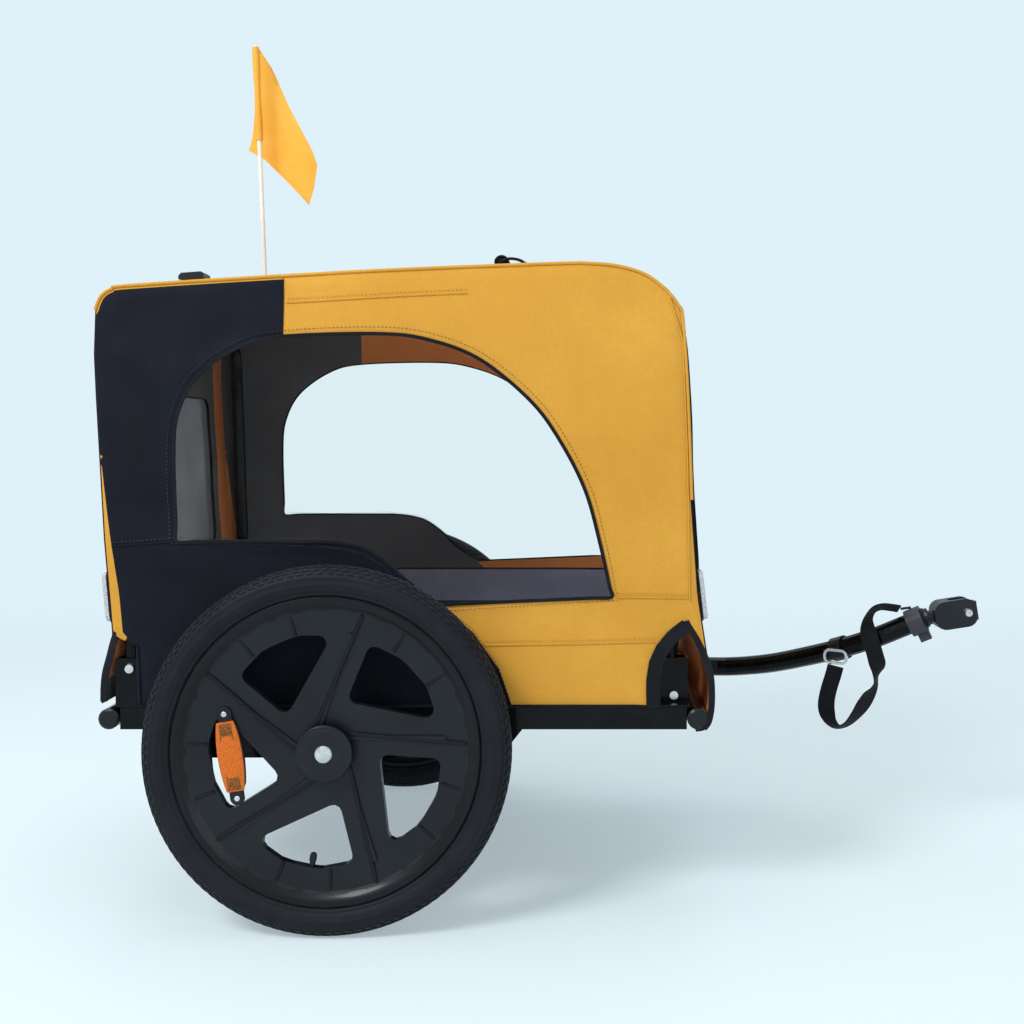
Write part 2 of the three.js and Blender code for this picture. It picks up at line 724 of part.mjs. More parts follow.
const roofShares = [
  [0.0024, 0.894], [0.012, 0.925], [0.03, 0.942], [0.06, 0.95], [0.317, 0.972], [0.526, 0.987],
  [0.779, 1], [0.83, 1], [0.879, 0.9935], [0.924, 0.974], [0.958, 0.94],
];
const frontShares = [[0.958, 0.94], [0.978, 0.905], [0.9855, 0.871], [0.994, 0.691], [1, 0.466]];
const rearHemShare = [0.026, 0.005];
const rearShares = [[0.031, 0.16], [0.0169, 0.376], [0.0036, 0.69], [0, 0.793], [0.0024, 0.894]];
const lowerShares = [
  [0.073, 0.135], [0.078, 0], [0.926, 0], [0.93, 0.083], [0.955, 0.15], [0.992, 0.191],
];
const windowShares = [
  [0.142, 0.373], [0.386, 0.373], [0.4246, 0.368], [0.456, 0.357], [0.479, 0.339], [0.503, 0.313],
  [0.526, 0.2785], [0.579, 0.231], [0.866, 0.2476], [0.847, 0.365], [0.8215, 0.4886],
  [0.779, 0.601], [0.73, 0.69], [0.6465, 0.782], [0.562, 0.826], [0.479, 0.84], [0.317, 0.834],
  [0.246, 0.811], [0.1785, 0.7475], [0.146, 0.669], [0.1375, 0.578],
];

const frontProfile = [
  ...frontShares.map(onCabin),
  [cabinRear + cabinLength + frontBulge * 0.3, cabinBottom + cabinHeight * 0.25],
  [cabinRear + cabinLength + frontBulge * 0.75, cabinBottom + cabinHeight * 0.1],
  [cabinRear + cabinLength + frontBulge, cabinBottom + cabinHeight * 0.04],
  [frontHemX, frontHemZ],
];

// Gives a line in the X-Z plane a thickness, measured to the right of its direction.
function band(points, thickness) {
  const inner = points.map(([x, z], i) => {
    const [bx, bz] = points[Math.max(i - 1, 0)];
    const [ax, az] = points[Math.min(i + 1, points.length - 1)];
    const run = Math.hypot(ax - bx, az - bz);
    return [x + (thickness * (az - bz)) / run, z - (thickness * (ax - bx)) / run];
  });
  return [...points, ...inner.reverse()];
}

// Moves each point of a closed outline outwards from the outline's middle.
function grown(points, margin) {
  const middle = points.reduce(([sx, sz], [x, z]) => [sx + x / points.length, sz + z / points.length], [0, 0]);
  return points.map(([x, z]) => {
    const reach = Math.hypot(x - middle[0], z - middle[1]);
    return [x + (margin * (x - middle[0])) / reach, z + (margin * (z - middle[1])) / reach];
  });
}

const sideOutline = [
  ...lowerShares, ...[...frontShares].reverse(), ...[...roofShares].reverse().slice(1),
  ...[...rearShares].reverse().slice(1),
].map(onCabin);
const windowOutline = windowShares.map(onCabin);
const sideInner = cabinHalfWidth - fabricThickness;
const spanInner = sideInner - gap;

for (const [label, side] of sides) {
  const panel = plate(sideOutline, sideInner, cabinHalfWidth, [windowOutline]);
  const film = plate(grown(windowOutline, filmMargin), sideInner - gap - filmThickness, sideInner - gap);
  add(`side_panel_${label}`, mirrored(panel, side), 'yellow');
  add(`side_window_${label}`, mirrored(film, side), 'film');
}

const across = (outline, half = spanInner) => plate(outline, -half, half);
const roofLine = roofShares.map(onCabin);
const seamGap = ([x, z]) => [x, z - panelSeam];
const frontLine = [seamGap(frontProfile[0]), ...frontProfile.slice(1)];
const rearLine = [rearHemShare, ...rearShares.slice(0, -1)].map(onCabin);
rearLine.push(seamGap(roofLine[0]));
add('roof_panel', across(band(roofLine, fabricThickness)), 'yellow');
const entrance = roundedPolygon([
  [-entranceHalf, entranceBottom], [entranceHalf, entranceBottom],
  [entranceHalf, entranceTop], [-entranceHalf, entranceTop],
], entranceCorner, 5);
const entranceHole = plate(entrance, -frontHemX - overrun, 0).rotateZ(Math.PI / 2);
add('front_panel', cut(across(band(frontLine, fabricThickness)), entranceHole), 'yellow');
add('rear_panel', across(band(rearLine, fabricThickness)), 'yellow');

const tubFloor = floorTop + gap;
add('floor_tub', cut(
  block([tubRear, -tubHalfWidth, tubFloor], [tubFront, tubHalfWidth, tubTop]),
  block([tubRear + fabricThickness, fabricThickness - tubHalfWidth, tubFloor + fabricThickness],
    [tubFront - fabricThickness, tubHalfWidth - fabricThickness, tubTop + overrun]),
), 'liner');

// The rolled front cover lies across the roof: a flattened spiral of cloth.
function rolledCover() {
  const steps = rollTurns * 16;
  const pitch = (rollHeight / 2 - rollSheet - gap) / rollTurns;
  const squash = rollWidth / rollHeight;
  const spiral = (radius) => Array.from({ length: steps + 1 }, (_, k) => {
    const angle = (k / 16) * 2 * Math.PI;
    const reach = radius - (pitch * (steps - k)) / 16;
    return [squash * reach * Math.cos(angle), reach * Math.sin(angle)];
  });
  const outline = [...spiral(rollHeight / 2), ...spiral(rollHeight / 2 - rollSheet).reverse()];
  return across(outline, rollLength / 2);
}

const roofAt = (x) => {
  const after = roofLine.findIndex(([px]) => px > x);
  const [x0, z0] = roofLine[after - 1];
  const [x1, z1] = roofLine[after];
  return z0 + ((z1 - z0) * (x - x0)) / (x1 - x0);
};
const cover = rolledCover();
cover.computeBoundingBox();
add('rolled_cover', cover.translate(rollX, 0, roofAt(rollX) + gap - cover.boundingBox.min.z), 'black');

// Reflectors on the front and rear panels, at the right-hand corner.
function crossingX(line, z) {
  const after = line.findIndex(([, pz], i) => i > 0 && (pz - z) * (line[i - 1][1] - z) <= 0);
  const [x0, z0] = line[after - 1];
  const [x1, z1] = line[after];
  return x0 + ((x1 - x0) * (z - z0)) / (z1 - z0);
}

function panelReflector(line, z, outward) {
  const half = panelReflectorHeight / 2;
  const lowX = crossingX(line, z - half);
  const highX = crossingX(line, z + half);
  const back = outward * gap * 2;
  const front = back + outward * panelReflectorDepth;
  const outer = spanInner - gap;
  const lens = block([Math.min(back, front), -outer, -half],
    [Math.max(back, front), panelReflectorWidth - outer, half]);
  const tilt = Math.atan2(highX - lowX, panelReflectorHeight);
  return lens.rotateY(tilt).translate((lowX + highX) / 2, 0, z);
}
add('front_reflector', panelReflector(frontLine, frontReflectorZ, 1), 'clear');
add('rear_reflector', panelReflector(rearLine, rearReflectorZ, -1), 'clear');

// Flag pole and pennant
add('flag_pole', bar(poleRadius, [poleAt(poleFoot), poleY, poleFoot], [poleTopX, poleY, poleTop], 12), 'pole');

// The pennant hangs from the pole's top and droops forward in one long fold.
function pennant(u, v) {
  const drop = flagSleeve * v + (flagDrop - flagSleeve * 0.4) * u * (0.55 + 0.45 * v) * 0.72;
  const reach = flagReach * u * (0.35 + 0.65 * Math.sqrt(Math.max(1 - u * (1 - v) * 0.6, 0)));
  const z = poleTop - drop;
  const sway = flagReach * 0.12 * Math.sin(Math.PI * 1.6 * u) * (0.4 + 0.6 * v);
  const x = poleAt(poleTop - flagSleeve * v) + poleRadius + flagThickness / 2 + gap + reach;
  return new THREE.Vector3(x, poleY + sway, z);
}
add('flag', sheet(pennant, 8, 6, flagThickness), 'flag');

// Tow arm: a clevis on the front cross tube, the bent tube and the hitch at its end.
const clevisGap = armRadius + hingeGap * 3;
const clevisBack = crossTubeFront + crossTubeRadius + gap;
function armBracket() {
  const reachX = armPivotX + clevisHalfWidth * 0.8;
  const plates = [-1, 1].map((hand) => block(
    [clevisBack, armPivotY - clevisHalfWidth,
      armPivotZ + Math.min(hand * clevisGap, hand * (clevisGap + clevisThickness))],
    [reachX, armPivotY + clevisHalfWidth,
      armPivotZ + Math.max(hand * clevisGap, hand * (clevisGap + clevisThickness))],
  ));
  const web = block([clevisBack, armPivotY - clevisHalfWidth, armPivotZ - clevisGap - clevisThickness],
    [clevisBack + clevisThickness, armPivotY + clevisHalfWidth, frontHemZ - hemClearance]);
  const reach = clevisGap + 2 * clevisThickness;
  const hole = bar(pivotBoltRadius + gap, [armPivotX, armPivotY, armPivotZ - reach],
    [armPivotX, armPivotY, armPivotZ + reach]);
  return cut(join(...plates, web), hole);
}

const armShares = [
  [0, 0, 0], [0.15, 0.03, 0.01], [0.35, 0.24, 0.14], [0.55, 0.52, 0.37], [0.7, 0.74, 0.57],
  [0.84, 0.92, 0.78], [1, 1, 1],
];
const armCurve = new THREE.CatmullRomCurve3([
  new THREE.Vector3(armPivotX - armTail, armPivotY, armPivotZ),
  ...armShares.map(([x, y, z]) => new THREE.Vector3(
    armPivotX + armTail + x * (armReach - armTail), armPivotY - y * armInset, armPivotZ + z * armRise,
  )),
], false, 'centripetal');
const armDirection = armCurve.getTangentAt(1);
const armEnd = armCurve.getPointAt(1).addScaledVector(armDirection, collarLength + 2 * gap);

function towArm() {
  const run = [...armCurve.getSpacedPoints(24), armEnd];
  const tube = tubeAlong(run, armRadius, armWall, new THREE.Vector3(0, 1, 0), 14);
  const reach = 2 * armRadius;
  const hole = bar(pivotBoltRadius + gap, [armPivotX, armPivotY, armPivotZ - reach],
    [armPivotX, armPivotY, armPivotZ + reach], 12);
  return cut(tube, hole);
}

const arm = new THREE.Group();
trailer.add(arm);
add('arm_bracket', armBracket(), 'frame');
const boltReach = clevisGap + clevisThickness;
add('arm_pivot_bolt', join(
  bar(pivotBoltRadius, [armPivotX, armPivotY, armPivotZ - boltReach - pivotBoltRadius],
    [armPivotX, armPivotY, armPivotZ + boltReach + pivotBoltRadius]),
  bar(pivotBoltRadius * 1.7, [armPivotX, armPivotY, armPivotZ + boltReach + gap],
    [armPivotX, armPivotY, armPivotZ + boltReach + pivotBoltRadius], 6),
), 'steel');
add('tow_arm', towArm(), 'frame', arm);

// The hitch is built along +X from its own start and turned to the arm's end, where its
// journal turns inside the tube.
const hitch = new THREE.Group();
hitch.position.copy(armEnd);
hitch.rotation.set(0, -Math.asin(armDirection.z) * 0.35, 0);
arm.add(hitch);

function armCollar() {
  const sleeve = cut(
    bar(collarRadius, [-collarLength, 0, 0], [-collarInset, 0, 0], 20),
    bar(armRadius + gap, [-collarLength - overrun, 0, 0], [overrun, 0, 0], 20),
  );
  const lug = block([-collarLength * 0.8, -collarLug / 2, -collarRadius - collarLug],
    [-collarLength * 0.2, collarLug / 2, -armRadius - (collarRadius - armRadius) / 2]);
  const turn = new THREE.Quaternion().setFromUnitVectors(new THREE.Vector3(1, 0, 0), armDirection);
  return join(sleeve, lug).applyQuaternion(turn).translate(...armEnd);
}
add('arm_collar', armCollar(), 'greyPlastic', arm);

const hitchBoltX = forkStart + forkLength - hitchBoltInset;
function hitchFork() {
  const half = forkHeight / 2;
  const outline = roundedPolygon([
    [forkStart, -half], [forkStart + forkLength, -half],
    [forkStart + forkLength, half], [forkStart, half],
  ], half * 0.75, 5);
  const body = plate(outline, -forkWidth / 2, forkWidth / 2);
  const slot = block([forkStart + forkLength * 0.42, -couplerWidth / 2 - gap, -forkHeight],
    [forkStart + forkLength + overrun, couplerWidth / 2 + gap, forkHeight]);
  const hole = bar(hitchBoltRadius + gap, [hitchBoltX, -forkWidth, 0], [hitchBoltX, forkWidth, 0]);
  const neck = bar(armRadius * 0.6, [gap * 2, 0, 0], [forkStart + overrun, 0, 0]);
  const alongArm = armDirection.clone().applyEuler(new THREE.Euler(0, -hitch.rotation.y, 0));
  const journal = bar(armRadius - armWall - hingeGap,
    alongArm.clone().multiplyScalar(-collarLength / 2).toArray(),
    alongArm.clone().multiplyScalar(forkStart / 2).toArray(), 14);
  return cut(join(body, neck, journal), slot, hole);
}

function hitchCoupler() {
  const half = couplerHeight / 2;
  const eye = bar(half, [hitchBoltX, -couplerWidth / 2, 0], [hitchBoltX, couplerWidth / 2, 0], 20);
  const tongue = block([hitchBoltX, -couplerWidth / 2, -half],
    [hitchBoltX + forkHeight * 0.4, couplerWidth / 2, half]);
  const hole = bar(hitchBoltRadius + gap, [hitchBoltX, -forkWidth, 0], [hitchBoltX, forkWidth, 0]);
  return cut(join(eye, tongue), hole);
}

function hitchBolt() {
  const reach = forkWidth / 2;
  const head = reach + gap;
  const profile = [
    [0, head + hitchBoltRadius], [hitchBoltHead * 0.7, head + hitchBoltRadius], [hitchBoltHead, head],
    [hitchBoltRadius, head], [hitchBoltRadius, -head], [hitchBoltHead, -head],
    [hitchBoltHead, -head - hitchBoltRadius], [0, -head - hitchBoltRadius],
  ];
  return turned(profile, 16).translate(hitchBoltX, 0, 0);
}
add('hitch_fork', hitchFork(), 'plastic', hitch);
add('hitch_coupler', hitchCoupler(), 'steel', hitch);
add('hitch_bolt', hitchBolt(), 'steel', hitch);

// Safety strap: a ring on the near face of the arm, the webbing that hangs from it and
// comes back up past the arm, and the clip at its end. The route's points are chosen by hand
// along the arm's own frame: forward, sideways from the arm's near face, and height.
const strapRoute = [
  [761, 38, 287, 0], [757, 38, 272, 0], [751, 38, 253, 0], [746, 38, 231, 5], [746, 38, 213, 20],
  [752, 38, 196, 50], [764, 38, 186, 65], [780, 38, 191, 55], [794, 36, 206, 40], [806, 32, 225, 25],
  [815, 22, 247, 40], [820, 6, 270, 80], [821, -6, 290, 45], [816, -11, 308, 5], [811, -12, 325, 0],
  [806, -9, 342, 10], [804, -5, 358, 45], [806, -3, 373, 75], [814, -3, 386, 85], [827, -3, 391, 90],
  [842, -4, 390, 90], [855, -5, 388, 90],
];
const strapPoints = strapRoute.map(([x, y, z]) => new THREE.Vector3(x, y, z));

function safetyStrap() {
  const section = (i, acrossRun, up) => {
    const twist = THREE.MathUtils.degToRad(strapRoute[i][3]);
    const wide = acrossRun.clone().multiplyScalar(Math.cos(twist)).addScaledVector(up, Math.sin(twist));
    const thick = acrossRun.clone().multiplyScalar(-Math.sin(twist)).addScaledVector(up, Math.cos(twist));
    const cornerShares = [[-1, -0.5], [-0.5, -1], [0.5, -1], [1, -0.5], [1, 0.5], [0.5, 1], [-0.5, 1], [-1, 0.5]];
    return [cornerShares.map(([w, t]) => wide.clone().multiplyScalar((w * strapWidth) / 2)
      .addScaledVector(thick, (t * strapThickness) / 2))];
  };
  return sweep(strapPoints, section, new THREE.Vector3(1, 0, 0));
}

function strapRing() {
  const half = ringWidth / 2;
  const corners = roundedPolygon([
    [-half, -ringHeight / 2], [half, -ringHeight / 2], [half, ringHeight / 2], [-half, ringHeight / 2],
  ], ringHeight * 0.4, 3);
  const hole = roundedPolygon([
    [ringWire * 2 - half, ringWire * 2 - ringHeight / 2], [half - ringWire * 2, ringWire * 2 - ringHeight / 2],
    [half - ringWire * 2, ringHeight / 2 - ringWire * 2], [ringWire * 2 - half, ringHeight / 2 - ringWire * 2],
  ], ringHeight * 0.25, 3);
  return plate(corners, -ringWire, ringWire, [hole]);
}
add('safety_strap', safetyStrap(), 'black', arm);
const ringCentre = strapPoints[0].clone().add(new THREE.Vector3(0, 0, ringHeight / 2 + strapThickness));
add('strap_ring', strapRing().rotateZ(THREE.MathUtils.degToRad(ringTurn)).translate(...ringCentre), 'steel', arm);

// A band of webbing round the arm, which the ring lies against.
function strapWrap() {
  const half = wrapWidth / 2 / armCurve.getLength();
  const spots = [-half, 0, half].map((offset) => armCurve.getPointAt(wrapShare + offset));
  const outer = armRadius + wrapClearance + wrapThickness;
  return tubeAlong(spots, outer, wrapThickness, new THREE.Vector3(0, 1, 0), 16);
}
add('strap_wrap', strapWrap(), 'black', arm);

const collarTop = new THREE.Vector3(-armDirection.z, 0, armDirection.x)
  .multiplyScalar(collarRadius + ringWire + 3 * gap).add(armEnd).addScaledVector(armDirection, -collarLength / 2);
const clipStart = strapPoints.at(-1).clone().add(new THREE.Vector3(ringWire, 0, 0));
add('strap_clip', bar(ringWire, clipStart.toArray(), collarTop.toArray(), 8), 'steel', arm);

// The origin goes to the middle of the footprint, on the floor.
const reach = new THREE.Box3().setFromObject(trailer, true);
trailer.position.set(-(reach.min.x + reach.max.x) / 2, -(reach.min.y + reach.max.y) / 2, -reach.min.z);

export default trailer;
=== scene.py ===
"""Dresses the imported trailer: cloth, tyres, wheels, straps, finishes, camera and light.

Lengths in the tables are millimetres in the part's own coordinates, where X = 0 is the wheel
axis, +X is the front, +Y the left side and Z = 0 the floor. piece() puts them into the frame.
"""
import json
import math

import bmesh
import bpy
import numpy as np
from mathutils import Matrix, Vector
from mathutils.geometry import delaunay_2d_cdt


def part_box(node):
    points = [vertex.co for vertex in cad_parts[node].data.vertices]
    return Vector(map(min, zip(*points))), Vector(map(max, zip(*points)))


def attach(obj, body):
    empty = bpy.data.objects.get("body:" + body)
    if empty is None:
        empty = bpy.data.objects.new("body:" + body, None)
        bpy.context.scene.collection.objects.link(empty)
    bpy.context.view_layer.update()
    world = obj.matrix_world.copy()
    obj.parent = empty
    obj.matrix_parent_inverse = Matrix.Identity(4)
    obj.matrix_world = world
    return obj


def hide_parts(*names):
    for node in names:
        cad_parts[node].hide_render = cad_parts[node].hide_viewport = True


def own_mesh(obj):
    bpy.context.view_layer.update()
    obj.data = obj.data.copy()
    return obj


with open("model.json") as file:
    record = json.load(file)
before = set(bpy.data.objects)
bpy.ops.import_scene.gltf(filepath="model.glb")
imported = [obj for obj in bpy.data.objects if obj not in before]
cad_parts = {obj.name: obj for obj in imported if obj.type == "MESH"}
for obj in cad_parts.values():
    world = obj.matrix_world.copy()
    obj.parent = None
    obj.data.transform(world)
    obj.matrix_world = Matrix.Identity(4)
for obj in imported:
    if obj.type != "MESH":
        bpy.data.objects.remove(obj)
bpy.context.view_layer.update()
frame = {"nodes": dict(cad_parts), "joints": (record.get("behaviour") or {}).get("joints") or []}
nodes = frame["nodes"]
AXLE_X = next(j for j in frame["joints"] if j["name"] == "wheel_right_spin")["pos_m"][0]

# The photograph's camera, fitted to both wheels, the rails and the roof's edges
CAMERA = (345, -1904, 662)
PHOTO_PX = 1024
FOCAL_PX = 1170
CENTRE_PX = (585, 440)
SENSOR = 36


def spot(x, y, z):
    """A point in part millimetres, as a point of the frame in metres."""
    return (x / 1000 + AXLE_X, y / 1000, z / 1000)


# Materials

def linear(code):
    """An sRGB hex colour as linear RGBA: c / 12.92 below 0.04045, else ((c + 0.055) / 1.055) ** 2.4."""
    parts = [int(code[i:i + 2], 16) / 255 for i in (1, 3, 5)]
    return tuple(c / 12.92 if c <= 0.04045 else ((c + 0.055) / 1.055) ** 2.4 for c in parts) + (1,)


def fill(node, sockets):
    """Sets a node's inputs, by name or number: an output is linked, anything else is the value."""
    for name, value in sockets.items():
        if isinstance(value, bpy.types.NodeSocket):
            node.id_data.links.new(value, node.inputs[name])
        else:
            node.inputs[name].default_value = value


def add(tree, kind, sockets=None, out=0, stops=(), **settings):
    """Adds one node with its settings, its inputs and, on a ramp, its stops of a place and a hex
    colour or a grey, and gives back one of its outputs."""
    node = tree.nodes.new("ShaderNode" + kind)
    for name, value in settings.items():
        setattr(node, name, value)
    if stops:
        band = node.color_ramp.elements
        while len(band) < len(stops):
            band.new(0.5)
        for element, (place, colour) in zip(band, stops):
            element.position = place
            element.color = linear(colour) if isinstance(colour, str) else (colour, colour, colour, 1)
    fill(node, sockets or {})
    return node.outputs[out]


def blank(name):
    """A new material, its node tree and its Principled shader."""
    material = bpy.data.materials.new(name)
    material.use_nodes = True
    return material, material.node_tree, material.node_tree.nodes["Principled BSDF"]


def cloth(name, dark, base, light, pitch=0.0011, rough=0.8, sheen=0.25, weave=0.35, patch=7.0):
    """Woven cloth: the greater of two crossed waves on the UVs, which repeat about every two
    threads of the pitch in metres, over slow colour patches and shallow creases."""
    material, tree, shader = blank(name)
    places = add(tree, "TexCoord").node.outputs
    waves = []
    for turn in (0, math.pi / 2):
        along = add(tree, "Mapping", {"Vector": places["UV"], "Rotation": (0, 0, turn)})
        waves.append(add(tree, "TexWave", {"Vector": along, "Scale": 1 / pitch / (2 * math.pi),
                                           "Distortion": 1.2, "Detail": 1.0, "Detail Scale": 2.0}, out="Fac"))
    threads = add(tree, "Math", {0: waves[0], 1: waves[1]}, operation="MAXIMUM")
    slow = add(tree, "TexNoise", {"Vector": places["Object"], "Scale": patch, "Detail": 5.0,
                                  "Roughness": 0.6})
    fine = add(tree, "TexNoise", {"Vector": places["Object"], "Scale": 160.0, "Detail": 2.0,
                                  "Roughness": 0.55})
    most = add(tree, "Math", {0: slow, 1: 0.8}, operation="MULTIPLY")
    rest = add(tree, "Math", {0: fine, 1: 0.2}, operation="MULTIPLY")
    tone = add(tree, "Math", {0: most, 1: rest}, operation="ADD")
    colour = add(tree, "ValToRGB", {"Fac": tone}, stops=[(0.3, dark), (0.52, base), (0.75, light)])
    # Painted shade: the colour is darkened a little between the threads, where the waves are low
    between = add(tree, "ValToRGB", {"Fac": threads}, stops=[(0.0, 0.55), (1.0, 1.0)])
    shade = add(tree, "MixRGB", {0: 0.25, 1: colour, 2: between}, blend_type="MULTIPLY")
    drawn = add(tree, "Mapping", {"Vector": places["Object"], "Scale": (1, 1, 0.6)})
    creases = add(tree, "TexNoise", {"Vector": drawn, "Scale": 14.0, "Detail": 3.0, "Roughness": 0.5})
    woven = add(tree, "Bump", {"Height": threads, "Strength": weave, "Distance": 0.0004})
    normal = add(tree, "Bump", {"Height": creases, "Strength": 0.22, "Distance": 0.006, "Normal": woven})
    fill(shader, {"Base Color": shade, "Roughness": rough, "Normal": normal, "Sheen Weight": sheen,
                  "Sheen Roughness": 0.45, "Specular IOR Level": 0.12})
    return material


def moulded(name, base, light, rough=0.42, grain=420.0, depth=0.00012, coat=0.0, shine=0.14):
    """Moulded plastic: a fine leathery grain, slow colour patches and faint scuffs."""
    material, tree, shader = blank(name)
    place = add(tree, "TexCoord", out="Object")
    patches = add(tree, "TexNoise", {"Vector": place, "Scale": 9.0, "Detail": 5.0, "Roughness": 0.55})
    scuff = add(tree, "TexNoise", {"Vector": place, "Scale": 45.0, "Detail": 5.0, "Roughness": 0.6})
    leather = add(tree, "TexNoise", {"Vector": place, "Scale": grain, "Detail": 2.0, "Roughness": 0.55})
    colour = add(tree, "ValToRGB", {"Fac": patches}, stops=[(0.35, base), (0.75, light)])
    worn = add(tree, "ValToRGB", {"Fac": scuff}, stops=[(0.45, rough), (0.7, min(rough + 0.09, 1.0))])
    normal = add(tree, "Bump", {"Height": leather, "Strength": 0.35, "Distance": depth})
    fill(shader, {"Base Color": colour, "Roughness": worn, "Normal": normal, "Coat Weight": coat,
                  "Coat Roughness": 0.15, "Specular IOR Level": shine})
    return material


def painted(name, base, light):
    """Gloss stove paint on metal: orange peel, dust in the colour and dulled rub marks."""
    material, tree, shader = blank(name)
    place = add(tree, "TexCoord", out="Object")
    drawn = add(tree, "Mapping", {"Vector": place, "Scale": (6, 60, 60)})
    dust = add(tree, "TexNoise", {"Vector": place, "Scale": 30.0, "Detail": 6.0, "Roughness": 0.7})
    rubs = add(tree, "TexNoise", {"Vector": drawn, "Scale": 4.0, "Detail": 4.0, "Roughness": 0.6})
    peel = add(tree, "TexNoise", {"Vector": place, "Scale": 180.0, "Detail": 1.0, "Roughness": 0.55})
    colour = add(tree, "ValToRGB", {"Fac": dust}, stops=[(0.4, base), (0.8, light)])
    dulled = add(tree, "ValToRGB", {"Fac": rubs}, stops=[(0.45, 0.16), (0.75, 0.34)])
    normal = add(tree, "Bump", {"Height": peel, "Strength": 0.12, "Distance": 0.0002})
    fill(shader, {"Base Color": colour, "Roughness": dulled, "Normal": normal, "Metallic": 0.0,
                  "Coat Weight": 0.1, "Coat Roughness": 0.06, "Specular IOR Level": 0.08})
    return material


def steel(name, base="#b9bbbd", light="#dcddde", rough=0.26):
    """Plated steel with fine turning lines."""
    material, tree, shader = blank(name)
    place = add(tree, "TexCoord", out="Object")
    drawn = add(tree, "Mapping", {"Vector": place, "Scale": (40, 900, 900)})
    lines = add(tree, "TexNoise", {"Vector": drawn, "Scale": 1.5, "Detail": 3.0, "Roughness": 0.55})
    cloudy = add(tree, "TexNoise", {"Vector": place, "Scale": 60.0, "Detail": 4.0, "Roughness": 0.55})
    colour = add(tree, "ValToRGB", {"Fac": cloudy}, stops=[(0.3, base), (0.7, light)])
    turned = add(tree, "ValToRGB", {"Fac": lines}, stops=[(0.3, rough - 0.08), (0.7, rough + 0.1)])
    normal = add(tree, "Bump", {"Height": lines, "Strength": 0.08, "Distance": 0.0001})
    fill(shader, {"Base Color": colour, "Roughness": turned, "Metallic": 1.0, "Normal": normal})
    return material


def rubber(name, base="#121419", light="#1d2026"):
    """Tyre rubber: bloom in patches, a fine pebble and a dry, dusty sheen."""
    material, tree, shader = blank(name)
    place = add(tree, "TexCoord", out="Object")
    bloom = add(tree, "TexNoise", {"Vector": place, "Scale": 22.0, "Detail": 6.0, "Roughness": 0.65})
    pebble = add(tree, "TexNoise", {"Vector": place, "Scale": 900.0, "Detail": 2.0, "Roughness": 0.55})
    colour = add(tree, "ValToRGB", {"Fac": bloom}, stops=[(0.35, base), (0.72, light)])
    dry = add(tree, "ValToRGB", {"Fac": bloom}, stops=[(0.3, 0.5), (0.8, 0.72)])
    normal = add(tree, "Bump", {"Height": pebble, "Strength": 0.3, "Distance": 0.00015})
    fill(shader, {"Base Color": colour, "Roughness": dry, "Normal": normal, "Specular IOR Level": 0.14,
                  "Sheen Weight": 0.03})
    return material


def film(name):
    """Clear vinyl: straight through but for a gloss that grows at a glance, with soft ripples."""
    material, tree, shader = blank(name)
    place = add(tree, "TexCoord", out="Object")
    drawn = add(tree, "Mapping", {"Vector": place, "Scale": (1, 1, 2.2)})
    ripple = add(tree, "TexNoise", {"Vector": drawn, "Scale": 16.0, "Detail": 3.0, "Roughness": 0.55})
    normal = add(tree, "Bump", {"Height": ripple, "Strength": 0.5, "Distance": 0.01})
    clear = add(tree, "BsdfTransparent", {"Color": (0.995, 0.995, 0.99, 1)})
    gloss = add(tree, "BsdfGlossy", {"Roughness": 0.06, "Normal": normal})
    edge = add(tree, "Fresnel", {"IOR": 1.12})
    both = add(tree, "MixShader", {0: edge, 1: clear, 2: gloss})
    fill(tree.nodes["Material Output"], {"Surface": both})
    tree.nodes.remove(shader)
    return material


def screen(name, thread, pitch=0.0022, hole=0.55):
    """Open net: the thread shows where either of two sets of lines on the UVs runs, and the rest
    is clear."""
    material, tree, shader = blank(name)
    places = add(tree, "TexCoord").node.outputs
    plane = add(tree, "SeparateXYZ", {0: places["UV"]}).node.outputs
    lines = []
    for axis in ("X", "Y"):
        away = add(tree, "Math", {0: plane[axis], 1: pitch / 2}, operation="PINGPONG")
        lines.append(add(tree, "Math", {0: away, 1: pitch / 2 * hole}, operation="GREATER_THAN"))
    cover = add(tree, "Math", {0: lines[0], 1: lines[1]}, operation="MAXIMUM")
    # Painted light and shade of the net's folds: the thread is lighter in broad patches
    painted_fold_shade = add(tree, "TexNoise", {"Vector": places["Object"], "Scale": 12.0, "Detail": 3.0,
                                    "Roughness": 0.55})
    colour = add(tree, "ValToRGB", {"Fac": painted_fold_shade}, stops=[(0.35, thread), (0.7, "#8e9094")])
    fill(shader, {"Base Color": colour, "Roughness": 0.6, "Alpha": cover})
    return material


def lens(name, dark, base, light, pitch=0.004):
    """A reflector: clear gloss over a grid of prisms, drawn as cells of the pitch in metres."""
    material, tree, shader = blank(name)
    place = add(tree, "TexCoord", out="Object")
    cells = add(tree, "TexVoronoi", {"Vector": place, "Scale": 1 / pitch}, out="Distance")
    # Each cell is painted light in its middle, as the prisms' flash, and dark at its edge, where the prisms
    # meet
    prism_grid_and_painted_flash = add(tree, "ValToRGB", {"Fac": cells}, stops=[(0.1, light), (0.45, base), (0.9, dark)])
    normal = add(tree, "Bump", {"Height": cells, "Strength": 0.5, "Distance": 0.001})
    fill(shader, {"Base Color": prism_grid_and_painted_flash, "Roughness": 0.2, "Normal": normal, "Coat Weight": 0.25,
                  "Coat Roughness": 0.05, "Specular IOR Level": 0.2})
    return material


